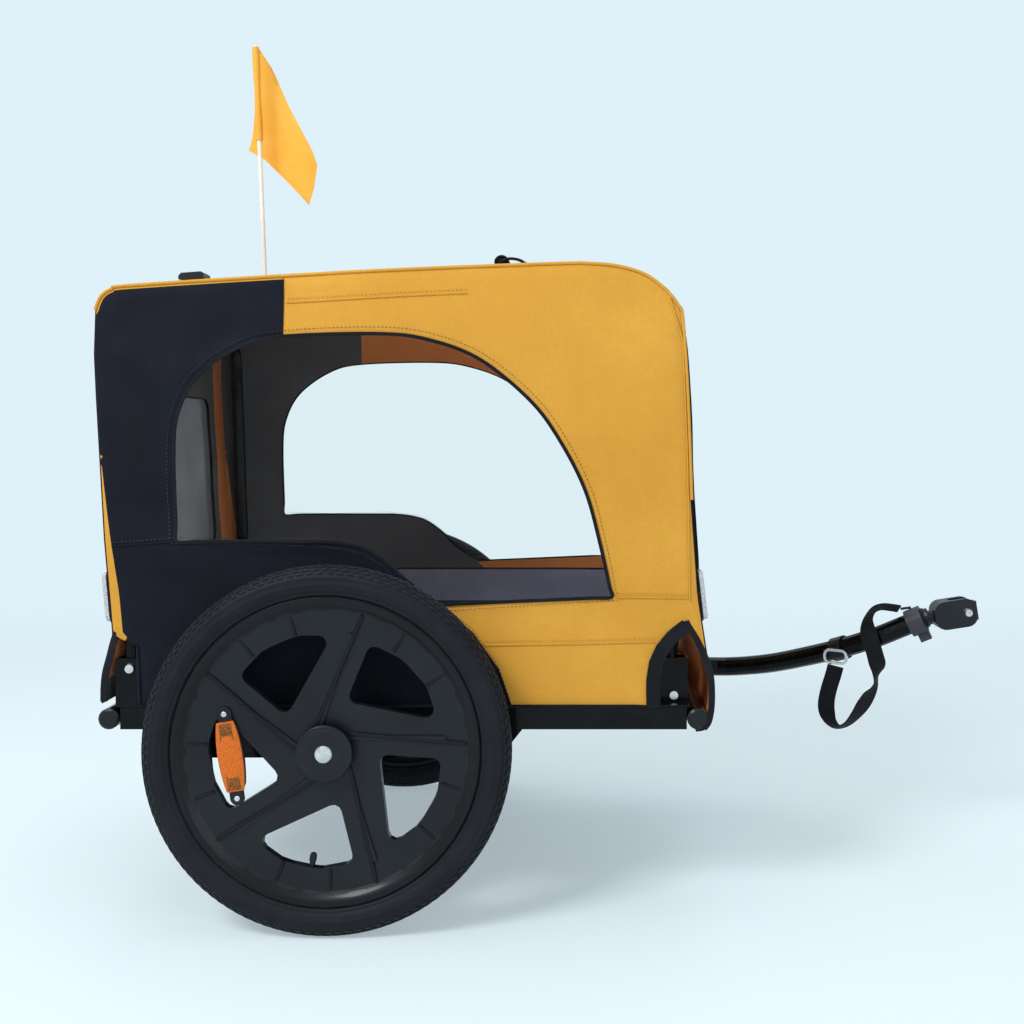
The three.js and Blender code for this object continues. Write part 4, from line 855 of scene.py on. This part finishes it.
def as_pairs(points):
    """An array of points as a list of pairs, which can be joined to other lists."""
    return [tuple(p) for p in points]


ROOF_LINE = as_pairs(spline(cabin_points(
    [(0.0024, 0.894), (0.012, 0.925), (0.03, 0.942), (0.06, 0.95), (0.317, 0.972), (0.526, 0.987),
     (0.779, 1), (0.83, 1), (0.879, 0.9935), (0.924, 0.974), (0.958, 0.94)]), 3))
FRONT_LINE = as_pairs(spline(cabin_points(
    [(0.958, 0.94), (0.978, 0.905), (0.9855, 0.871), (0.994, 0.691), (1, 0.466)]), 3))
FRONT_TAIL = [(502.3, 446.5), (516.3, 354.4), (524, 317.6), (523, 290), (519, 268), (510, 259), (499, 257.5)]
REAR_LINE = cabin_points([(0.031, 0.16), (0.0169, 0.376), (0.0036, 0.69), (0, 0.793), (0.0024, 0.894)])
LOWER_LINE = cabin_points([(0.073, 0.135), (0.078, 0), (0.926, 0), (0.9265, 0.06), (0.931, 0.1),
                           (0.943, 0.135), (0.96, 0.163), (0.992, 0.195)])
SHOULDER = [(502.3, 446.5), (510, 393), (516.5, 350), (504, 377), (489, 402)]
FRONT_HEM = [(485, 410), (500, 385), (512, 360), (518.5, 338), (520.5, 318), (520, 292), (516, 272),
             (509, 263)]
REAR_HEM = [(-305, 396), (-312, 366), (-318, 340), (-320.5, 318), (-321, 300)]
SIDE_OUTLINE = ROOF_LINE + FRONT_LINE[1:] + SHOULDER + LOWER_LINE[::-1] + REAR_LINE[:-1]
WHEEL_TOP = photo_points([(112, 546), (178, 541), (240, 543), (324, 541), (347, 543), (366, 548), (380, 556),
                          (394, 568), (408, 583), (437, 603)])
WHEEL_TOP += [(140.2, 436.5), (190, 395), (225, 345), (ARCH_X, CABIN_Z)]
WINDOW_CORNERS = cabin_points(
    [(0.142, 0.373), (0.386, 0.373), (0.4246, 0.368), (0.456, 0.357), (0.479, 0.339), (0.503, 0.313),
     (0.526, 0.2785), (0.579, 0.231), (0.866, 0.2476), (0.847, 0.365), (0.8215, 0.4886), (0.779, 0.601),
     (0.73, 0.69), (0.6465, 0.782), (0.562, 0.826), (0.479, 0.84), (0.317, 0.834), (0.246, 0.811),
     (0.1785, 0.7475), (0.146, 0.669), (0.1375, 0.578)])
# The window's two long curves are rounded through their points, and its three corners are kept
WINDOW = as_pairs(np.concatenate([spline(WINDOW_CORNERS[1:8], 4),
                                  spline(WINDOW_CORNERS[8:] + [WINDOW_CORNERS[0]], 4)]))


def even(line, step, closed=False):
    """The line again, with points about a step apart and its corners kept."""
    ring = list(line) + ([line[0]] if closed else [])
    out = []
    for a, b in zip(ring, ring[1:]):
        a, b = np.array(a, float), np.array(b, float)
        count = max(1, int(round(np.linalg.norm(b - a) / step)))
        out += [a + (b - a) * k / count for k in range(count)]
    if not closed:
        out.append(np.array(ring[-1], float))
    return np.array(out)


def folds(obj):
    """Gives the piece its own copy of its mesh, and gives the piece back."""
    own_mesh(obj)
    return obj


def rear_border(z):
    """Where the black rear quarter begins: a yellow edge is left behind it, -3 mm wide at first and
    wider by up to 19 mm over the 290 mm below 740, with the power 1.2."""
    line = np.array(REAR_LINE)
    return np.interp(z, line[:, 1], line[:, 0]) - 3 + 19 * np.clip((740 - z) / 290, 0, 1) ** 1.2


def dark_region(middles):
    """True for the black parts of a side: the rear quarter under the yellow edge, and the panel
    round the wheel arch."""
    x, z = middles.T
    arch = np.array(WHEEL_TOP)
    limit = np.interp(x, arch[:, 0], arch[:, 1])
    rear = (x < QUARTER_X) & (gap_to(middles, ROOF_LINE, closed=False) > PIPED)
    under = (x < ARCH_X) & (z < limit)
    return (rear | under) & (x > rear_border(z))


def side_height(flat, hand):
    """How far a side stands out at each point: it rolls in 4 mm within 16 mm of its edge, bellies
    4 mm over its height, waves by 2.6 mm, carries slanting folds of 2 mm towards the rear and a hem
    of 1.2 mm round the window. Near the flag's pole the left side is calm."""
    edge = gap_to(flat, even(SIDE_OUTLINE, 20, True))
    hem = gap_to(flat, even(WINDOW, 20, True))
    x, z = flat.T
    roll = -4 * np.clip(1 - edge / 16, 0, 1) ** 2
    belly = 4 * np.sin(np.clip((z - CABIN_Z) / CABIN_HIGH, 0, 1) * math.pi) * np.clip(edge / 60, 0, 1)
    soft = drape(x, z, 3.1 if hand == "right" else 8.4)
    slant = np.sin((x * 0.55 + z) * 0.052 + 2.2 * soft) * np.clip(-x / 120, 0, 1) * np.clip(edge / 50, 0, 1)
    calm = np.clip(hem / 22, 0, 1)
    if hand == "left":
        near = np.clip(np.abs(x - POLE_X + (z - POLE_Z) * POLE_LEAN) / 70, 0, 1) ** 2
        belly, soft, slant, calm = belly * near, soft * near, slant * near, calm * near
    waves = (2.6 * soft + 2.0 * slant) * calm * np.clip(edge / 25, 0, 1)
    return roll + belly + waves + 1.2 * np.exp(-((hem - 7) / 5) ** 2)


def side_colours(outline, window):
    """The lines between black and yellow on a side, cut clear of its outline and its window."""
    roof = np.array(ROOF_LINE)
    step = np.gradient(roof, axis=0)
    step /= np.linalg.norm(step, axis=1)[:, None]
    roof_edge = roof + np.stack([step[:, 1], -step[:, 0]], 1) * PIPED
    roof_edge = [tuple(p) for p in roof_edge if p[0] < -90]
    top = float(np.interp(QUARTER_X, roof[:, 0], roof[:, 1])) - PIPED
    rear_edge = [(float(rear_border(z)), z) for z in np.arange(396, 690, 12)]
    quarter = roof_edge + [(QUARTER_X, top), (QUARTER_X, 700)]
    lines = [even(line, 8) for line in (quarter, WHEEL_TOP[1:], rear_edge)]
    return [line[inside(line, outline) & ~inside(line, window) & (gap_to(line, window) > 4)
                 & (gap_to(line, outline) > 3)] for line in lines]


def side(hand):
    """A side of the cabin: black and yellow cloth with a window opening, its clear film, bindings,
    piping and stitched seams."""
    sign = -1 if hand == "right" else 1
    outline, window = even(SIDE_OUTLINE, 9, True), even(WINDOW, 9, True)
    lines = [(outline, True), (window, True)] + [(line, False) for line in side_colours(outline, window)]
    flat, faces = flat_mesh(lines, 8.5, lambda m: inside(m, outline) & ~inside(m, window))
    points = np.stack([flat[:, 0], sign * (CLOTH_Y + side_height(flat, hand)), flat[:, 1]], 1)
    made = [thick(f"side_cloth_{hand}", points, faces, np.array((0, -sign * CLOTH_THICK, 0)),
                  [YELLOW, BLACK, YELLOW_IN, DARK_IN], "frame", flat, which=dark_region(flat[faces].mean(1)),
                  smooth=60, replaces=[f"side_panel_{hand}"], slot="yellow_fabric")]

    def on_side(line, lift):
        line = np.asarray(line, float)
        return np.stack([line[:, 0], sign * (CLOTH_Y + side_height(line, hand) + lift), line[:, 1]], 1)

    film_line = even(WINDOW, 10, True)
    flat, faces = flat_mesh([(film_line, True)], 16, lambda m: inside(m, film_line))
    away = gap_to(flat, film_line)
    share = np.clip(away / 60, 0, 1)
    ripple = 2.4 * drape(*flat.T, 5.5 * sign) * np.clip(away / 40, 0, 1)
    stand = side_height(flat, hand) * (1 - share) + 3.0 * share + ripple - 1.2
    glass = np.stack([flat[:, 0], sign * (CLOTH_Y + stand), flat[:, 1]], 1)
    made.append(thick(f"window_vinyl_{hand}", glass, faces, np.array((0, -sign * 0.6, 0)),
                      [FILM, FILM], "frame", flat, smooth=60, replaces=[f"side_window_{hand}"],
                      slot="window_film"))

    mid = spline(on_side(even(WINDOW, 24, True), 1.6), 3, closed=True)
    made.append(ribbon(f"window_binding_{hand}", np.concatenate([mid, mid[:1]]), 5, 1.8, BINDING, "frame",
                       crown=0.4, smooth=50, slot="black_fabric"))
    wide = even(WINDOW, 14, True)
    outward = wide - film_line.mean(0)
    outward /= np.linalg.norm(outward, axis=1)[:, None]
    made.append(stitches(f"window_stitch_{hand}", on_side(wide + outward * 9.5, 1.0), (0, sign, 0), 3.2,
                         2.4, 0.4, THREAD, "frame"))
    edge = spline(on_side(even(ROOF_LINE + FRONT_LINE[1:], 30), 1.5), 3)
    made.append(tube(f"roof_piping_{hand}", edge, 2.3, YELLOW, "frame", sides=12, first=(0, 1, 0), smooth=50,
                     slot="yellow_fabric"))
    black_seams = [[(QUARTER_X, 806), (QUARTER_X, 850), (QUARTER_X, 884)], WHEEL_TOP]
    yellow_seams = [photo_points([(612, 597), (650, 597.5), (690, 598)]),
                    photo_points([(485, 645), (575, 643.5), (655, 641.5)]),
                    photo_points([(286, 302.5), (340, 299.5), (400, 296), (467, 293)]),
                    [(459, 872), (480.6, 800), (487, 640), (490, 440)]]
    for k, line in enumerate(black_seams + yellow_seams):
        fabric, thread = (BLACK, THREAD) if k < len(black_seams) else (YELLOW, THREAD_Y)
        line = even(line, 10)
        line = line[inside(line, outline) & ~inside(line, window)]
        if len(line) > 2:
            made.append(tube(f"seam_{k}_{hand}", on_side(line, 0.9), 1.1, fabric, "frame", sides=8,
                             first=(0, 1, 0)))
            made.append(stitches(f"seam_stitch_{k}_{hand}", on_side(line + (0, 5), 0.9), (0, sign, 0), 3.4,
                                 2.6, 0.4, thread, "frame"))
    lower = even(LOWER_LINE, 18)
    lower = lower[lower[:, 0] < 480]
    made.append(tube(f"lower_piping_{hand}", on_side(lower, 1.0), 2.2, BINDING, "frame", sides=10,
                     first=(0, 1, 0)))
    cutout = [(x + 8.5, z - 2) for x, z in LOWER_LINE[2:7]] + [(486, 405)]
    # name, line, width and how far off the cloth
    hems = [("cutout_binding_front", cutout, 19, -0.9),
            ("front_hem", FRONT_HEM, 9, 0.1),
            ("rear_hem", REAR_HEM, 10, -1.4)]
    for name, line, width, lift in hems:
        made.append(ribbon(f"{name}_{hand}", on_side(spline(line, 4), lift), width, 2.2, BINDING, "frame",
                           first=(1, 0, 0), crown=0.5, smooth=50, slot="black_fabric"))
    for item in made:
        folds(item)


def run_at(line, z):
    """How far along a line of (X, Z) pairs a height is reached."""
    order = np.argsort(line[:, 1])
    return float(np.interp(z, line[order, 1], run_of(line)[order]))


def across(name, line, hole, mats, spacing, belly, seed, mark=None, seams=(), **more):
    """A cloth panel that follows a line of (X, Z) pairs from side to side: its plane is (Y, distance
    along the line), hole is an outline in that plane, and mark(middles) picks materials. It bellies
    by sin(pi s) cos(pi y / 2) over its shares s and y, and waves by 2.2 mm."""
    run = run_of(line)
    step = np.gradient(line, axis=0)
    step /= np.linalg.norm(step, axis=1)[:, None]
    normal = np.stack([-step[:, 1], step[:, 0]], 1)
    end = run[-1]
    border = even([(-PANEL_HALF, 0), (PANEL_HALF, 0), (PANEL_HALF, end), (-PANEL_HALF, end)], spacing, True)
    lines = [(border, True)] + ([(hole, True)] if hole is not None else [])
    lines += [(even(seam, spacing)[1:-1], False) for seam in seams]
    flat, faces = flat_mesh(lines, spacing,
                            lambda m: inside(m, border) & (~inside(m, hole) if hole is not None else True))

    def place(plane, lift=0.0):
        y, s = np.asarray(plane, float).T
        base, face = (np.stack([np.interp(s, run, values[:, k]) for k in (0, 1)], 1)
                      for values in (line, normal))
        edge = np.minimum(PANEL_HALF - np.abs(y), np.minimum(s, end - s))
        along_share, wide_share = np.clip(s / end, 0, 1), np.clip(y / PANEL_HALF, -1, 1)
        rise = belly * np.sin(along_share * math.pi) * np.cos(wide_share * math.pi / 2)
        base = base + face * (rise + 2.2 * drape(y, s, seed) * np.clip(edge / 30, 0, 1) + lift)[:, None]
        return np.stack([base[:, 0], y, base[:, 1]], 1)

    points = place(flat)
    which = None if mark is None else mark(flat[faces].mean(1))
    obj = thick(name, points, faces, place(flat, -CLOTH_THICK) - points, mats, "frame", flat, which=which,
                smooth=60, slot="yellow_fabric", **more)
    return folds(obj), place


def round_hole(half, low, high, corner):
    """A rectangle of |Y| < half between two distances, with rounded corners."""
    out = []
    for cy, cs, start in ((half - corner, high - corner, 0), (-half + corner, high - corner, 90),
                          (-half + corner, low + corner, 180), (half - corner, low + corner, 270)):
        for t in np.radians(np.linspace(start, start + 90, 6)):
            out.append((cy + corner * math.cos(t), cs + corner * math.sin(t)))
    return even(out, 12, True)


def tape_loop(name, place, hole, width):
    """Binding laid round an opening of a panel."""
    loop = even(hole, 14, True)
    ring = place(np.concatenate([loop, loop[:1]]), 1.2)
    folds(ribbon(name, ring, width, 1.6, BINDING, "frame", first=(1, 0, 0), crown=0.3, smooth=50))


def roof():
    """The roof cloth, stretched over the arches, with a row of stitches along each side."""
    line = even(ROOF_LINE, 14)
    length = run_of(line)[-1]
    obj, place = across("roof_cloth", line, None, [YELLOW, YELLOW_IN], 12, 4.0, 2.2, replaces=["roof_panel"])
    for hand, y in (("r", -276), ("l", 276)):
        seam = place(np.array([(y, s) for s in np.linspace(4, length - 4, 60)]), 1.0)
        folds(stitches(f"roof_stitch_{hand}", seam, (0, 0, 1), 3.4, 2.6, 0.45, THREAD_Y, "frame"))


def front():
    """The front cloth with its bound entrance, a black hem below and a strap beside it."""
    line = even(FRONT_LINE + FRONT_TAIL, 12)
    top_z, low_z, hem_z, half, corner = 842, 452, 318, 214, 50
    hem = run_at(line, hem_z)
    hole = round_hole(half, run_at(line, top_z), run_at(line, low_z), corner)
    _, place = across("front_cloth", line, hole, [YELLOW, BINDING, YELLOW_IN, YELLOW_IN], 10, 3.0, 4.4,
                      mark=lambda m: m[:, 1] > hem, seams=[[(-PANEL_HALF, hem), (PANEL_HALF, hem)]],
                      replaces=["front_panel"])
    tape_loop("entrance_binding", place, hole, 16)
    strip = np.array([(-252, s) for s in np.linspace(run_at(line, 560), run_at(line, 485), 14)])
    folds(ribbon("front_strip", place(strip, 1.6), 22, 2.2, WEBBING, "frame", first=(0, 1, 0), smooth=50,
                 slot="webbing"))


def rear():
    """The rear cloth, black between two yellow edges and above a black hem, with its bound net."""
    line = even([(-325.5, 297), (-324, 318), (-318.5, 350)] + REAR_LINE, 12)
    length = run_of(line)[-1]
    low_z, high_z, half, corner = 480, 735, 193, 24
    hole = round_hole(half, run_at(line, low_z), run_at(line, high_z), corner)
    black_half, hem, gap = 232, 34, 11
    edges = [[(y, hem + gap), (y, length)] for y in (-black_half, black_half)]
    _, place = across("rear_cloth", line, hole, [YELLOW, BLACK, YELLOW_IN, DARK_IN], 10, 3.0, 6.6,
                      mark=lambda m: (np.abs(m[:, 0]) < black_half) | (m[:, 1] < hem),
                      seams=[[(-PANEL_HALF, hem), (PANEL_HALF, hem)]] + edges, replaces=["rear_panel"])
    tape_loop("rear_binding", place, hole, 14)
    border = even(hole, 14, True)
    flat, faces = flat_mesh([(border, True)], 16, lambda m: inside(m, border))
    points = place(flat, -0.6)
    folds(thick("rear_net", points, faces, place(flat, -1.0) - points, [NET, NET], "frame", flat, smooth=60,
                slot="black_fabric"))


for hand in ("right", "left"):
    side(hand)
roof()
front()
rear()


def roof_fittings():
    """The buckle behind, and the loose strand at the rolled cover."""
    outline = [(-219, 885), (-184, 887), (-184, 893), (-188, 896), (-215, 894), (-219, 890)]
    points = [(x, y, z) for y in (-PANEL_HALF, -252) for x, z in outline]
    faces = bar_faces(2, len(outline))
    folds(piece("roof_buckle", points, faces, PLASTIC, "frame", slot="fittings_plastic"))
    strand = [(223, -228, 916), (236, -232, 921), (250, -236, 919), (259, -238, 914), (264, -238, 911)]
    folds(tube("cover_strand", spline(strand, 8), 2.2, WEBBING, "frame", sides=10, first=(0, 1, 0), smooth=50,
               slot="webbing"))


def panel_reflector(node, outwards):
    """A clear reflector on a cabin corner: a rounded lens crowned by 2.2 mm over a black base, set square on
    the middle and lean of its CAD plate. The outline is |sin u|^0.3 along by |cos u|^0.3 across, with their
    signs."""
    mesh = nodes[node].data
    corners = np.zeros(3 * len(mesh.vertices), np.float32)
    mesh.vertices.foreach_get("co", corners)
    corners = (corners.reshape(-1, 3).astype(float) - (AXLE_X, 0, 0)) * 1000
    middle = (corners.max(0) + corners.min(0)) / 2
    plane = corners[:, [0, 2]] - middle[[0, 2]]
    lean = np.linalg.eigh(plane.T @ plane)[1][:, 1]
    lean = lean * np.sign(lean[1])
    tall, wide = np.array((lean[0], 0, lean[1])), np.array((0.0, 1.0, 0.0))
    out = np.cross(wide, tall)
    out = out * np.sign(out[0]) * outwards
    sides = 48
    turn = np.linspace(0, 2 * math.pi, sides, endpoint=False)
    along, over = (np.sign(wave) * np.abs(wave) ** 0.3 for wave in (np.sin(turn), np.cos(turn)))
    for name, material, half, levels in (
            ("base", PLASTIC, (36, 13), [(1, -3.4), (1, -2.2), (0.96, -1.6)]),
            ("lens", CLEAR, (34, 12), [(1, -1.7), (1, 3.0), (0.95, 4.4), (0.55, 5.0), (0.05, 5.2)])):
        share, rise = np.array(levels).T[:, :, None, None]
        rings = (middle + tall * (along * half[0])[None, :, None] * share
                 + wide * (over * half[1])[None, :, None] * share + out * rise)
        points = rings.reshape(-1, 3)
        faces = bar_faces(len(levels), sides)
        obj = piece(f"{node}_{name}", points, faces, material, "frame", smooth=35, slot="clear_lens")
        folds(obj)
    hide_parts(node)


roof_fittings()
panel_reflector("front_reflector", 1)
panel_reflector("rear_reflector", -1)


# Tub, cover and flag

def box_of(node):
    """A CAD node's lowest and highest corner in part millimetres."""
    shift = np.array((AXLE_X, 0, 0))
    return [(np.array(corner) - shift) * 1000 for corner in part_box(node)]


def tub():
    """The padded liner: a closed shell with rounded upright walls. Each ring is |cos u|^0.22 long by
    |sin u|^0.22 wide, and is drawn in by up to 1.6 mm, fourteen times round."""
    low, high = box_of("floor_tub")
    x0, x1, y1, z0, z1 = low[0] + 1, high[0] - 1, high[1] - 1, low[2] + 1, high[2] - 1
    # inset and height of each ring, from the foot over the rim, which is the seventh, to the inner floor
    profile = [(0, z0), (-1, z0 + 20), (2, z0 + 55), (0, z0 + 95), (2, z1 - 14), (6, z1 - 4), (13, z1),
               (21, z1 - 3), (25, z1 - 14), (24, z0 + 90), (30, z0 + 40), (46, z0 + 22), (90, z0 + 14)]
    top, sides = 6, 160
    turn = np.linspace(0, 2 * math.pi, sides, endpoint=False)

    def ring(inset, z):
        long, wide = (x1 - x0) / 2 - inset, y1 - inset
        drawn = np.clip(1.6 * np.sin(turn * 14 + z * 0.02), 0, None)
        x = (x0 + x1) / 2 + np.sign(np.cos(turn)) * np.abs(np.cos(turn)) ** 0.22 * long - np.cos(turn) * drawn
        y = np.sign(np.sin(turn)) * np.abs(np.sin(turn)) ** 0.22 * wide - np.sin(turn) * drawn
        return np.stack([x, y, np.full(sides, z)], 1)

    rings = [ring(inset, z) for inset, z in profile]
    points = np.concatenate(rings)
    faces = bar_faces(len(rings), sides)
    uv = np.stack([points[:, 0] + points[:, 1], points[:, 2]], 1)
    obj = piece("tub_padded_liner", points, faces, LINER, "frame", uv=uv, smooth=50, replaces=["floor_tub"],
                slot="tub_liner")
    folds(obj)
    bead = np.concatenate([rings[top], rings[top][:1]])
    folds(tube("tub_piping", bead - (0, 0, 1.0), 3.0, BINDING, "frame", sides=10, smooth=50))


def rolled():
    """The rolled-up front cover: a spiral of 2.6 turns that winds in by 4.2 mm a turn, pinched by 6 %
    under its two bands."""
    low, high = box_of("rolled_cover")
    cx, cz, r = (low[0] + high[0]) / 2, (low[2] + high[2]) / 2, (high[2] - low[2]) / 2 - 0.6
    winds, wind_in, layer, band_y = 2.6, 4.2, 2.6, 150
    turn = np.linspace(0, winds * 2 * math.pi, 130)
    radius = r - wind_in * turn / (2 * math.pi)
    outer, inner = (np.stack([size * np.cos(turn), size * np.sin(turn)], 1)
                    for size in (radius, radius - layer))
    section = np.concatenate([outer, inner[::-1]])
    stations = np.linspace(low[1] + 1, high[1] - 1, 70)
    count = len(section)
    pinch = (1 - 0.06 * np.exp(-((np.abs(stations) - band_y) / 9) ** 2))[:, None]
    lift = (0.45 * drape(stations, 0 * stations, 0.7))[:, None]
    points = np.stack(np.broadcast_arrays(cx + section[:, 0] * pinch, stations[:, None],
                                          cz + section[:, 1] * pinch + lift), -1).reshape(-1, 3)
    faces = bar_faces(len(stations), count)
    arc = 3.1 * np.arange(1, len(turn) + 1)
    arc = np.concatenate([arc, arc[::-1]])
    uv = np.stack(np.broadcast_arrays(arc[None, :], stations[:, None]), -1).reshape(-1, 2)
    folds(piece("rolled_front_cover", points, faces, BLACK, "frame", uv=uv, smooth=50,
                replaces=["rolled_cover"], slot="black_fabric"))
    size = r - 0.4
    turn = np.linspace(0, 2 * math.pi, 40)
    for k, y in enumerate((-band_y, band_y)):
        ring = [(cx + size * math.cos(t), y, cz + size * math.sin(t)) for t in turn]
        folds(ribbon(f"cover_band_{k}", ring, 16, 1.0, WEBBING, "frame", first=(0, 1, 0), smooth=50,
                     slot="webbing"))


FLAG_Y = 290.5
POLE_TOP_X = -273
# The pennant's outline in the photograph, in pixels
FLAG_PX = [(258, 47), (270, 66), (286, 103), (303, 134), (312, 150), (318, 166), (314, 188), (308, 204),
           (286, 181), (265, 160), (249, 151), (253, 136), (256, 100)]


def flag():
    """The pennant: a sleeve on the pole, and a sail whose outline is the photograph's and which
    curls by sin(3.4 t) at a share t of its reach."""
    low, high = box_of("flag")
    pole_low, pole_high = box_of("flag_pole")
    top = high[2] - 1

    def pole_x(z):
        return POLE_X + (z - pole_low[2]) / (pole_high[2] - pole_low[2]) * (POLE_TOP_X - POLE_X)

    outline = np.array(photo_points(FLAG_PX, FLAG_Y))
    border = even(outline, 7, True)
    flat, faces = flat_mesh([(border, True)], 7, lambda m: inside(m, border))
    away = flat[:, 0] - pole_x(flat[:, 1])
    reach = away.max()
    room = (high[1] - low[1]) / 2 + 6

    def curl(distance):
        return room * np.sin(distance / reach * 3.4) * np.clip(distance / 30, 0, 1)

    points = np.stack([flat[:, 0], (low[1] + high[1]) / 2 + curl(away) - 1, flat[:, 1]], 1)
    obj = thick("flag_sail", points, faces, np.array((0, 1.0, 0)), [FLAG, FLAG], "frame", flat, smooth=70,
                replaces=["flag"], slot="flag_fabric")
    line = [(pole_x(z), FLAG_Y, z) for z in np.linspace(top - 176, top - 2, 24)]
    swell = 6.0 + 0.6 * np.sin(np.linspace(0, 9, 24))
    tube("flag_sleeve", line, swell, FLAG, "frame", sides=20, first=(1, 0, 0), wall=1.2, smooth=50,
         slot="flag_fabric")


tub()
rolled()
flag()


# Safety strap

STRAP = [
    (761, 38, 287), (757, 38, 272), (751, 38, 253), (746, 38, 231), (746, 38, 213), (752, 38, 196),
    (764, 38, 186), (780, 38, 191), (794, 36, 206), (806, 32, 225), (815, 22, 247), (820, 6, 270),
    (821, -6, 290), (816, -11, 308), (811, -12, 325), (806, -9, 342), (804, -5, 358), (806, -3, 373),
    (814, -3, 386), (827, -3, 391), (842, -4, 390), (855, -5, 388),
]
STRAP_TWIST = [0, 0, 0, 5, 20, 50, 65, 55, 40, 25, 40, 80, 45, 5, 0, 10, 45, 75, 85, 90, 90, 90]


def strap():
    """The webbing safety strap from the ring up to its clip, along the CAD route. It is declared
    28 mm across, as its CAD piece is, and drawn 27.2 mm wide."""
    line = spline(STRAP, 5)
    twist = spline([(t, 0, 0) for t in STRAP_TWIST], 5)[:, 0]
    obj = ribbon("safety_webbing", line, 27.2, 2.2, WEBBING, "tow_arm", first=(1, 0, 0), twist=twist,
                 smooth=50, replaces=["safety_strap"], slot="webbing")


strap()


# Finishes of the CAD pieces, by the start of a node's name: the first that fits is taken

FINISHES = [
    (PAINT, ("rail_", "cross_tube", "axle_beam", "hinge_bracket", "rear_arch", "front_arch", "tow_arm",
             "arm_bracket", "arm_pivot")),
    (STEEL, ("hinge_bolt", "hitch_bolt", "wheel_axle", "bearing_", "strap_ring")),
    (PLASTIC, ("end_cap", "hitch_", "hub_cap", "strap_wrap", "wheel_disc")),
    (GREY, ("arm_collar",)),
    (BOARD, ("floor_board",)),
    (POLE, ("flag_pole",)),
    (RUBBER, ("inner_tube", "tyre")),
    (AMBER, ("wheel_reflector",)),
    (CLEAR, ("front_reflector", "rear_reflector")),
]


def finish_nodes():
    """A finish for each CAD piece, black plastic where none is named, with smooth round faces."""
    for name, obj in nodes.items():
        obj.data.materials.clear()
        obj.data.materials.append(next((mat for mat, starts in FINISHES if name.startswith(starts)), PLASTIC))
        obj.data.shade_smooth()
        obj.data.set_sharp_from_angle(angle=math.radians(38))


finish_nodes()
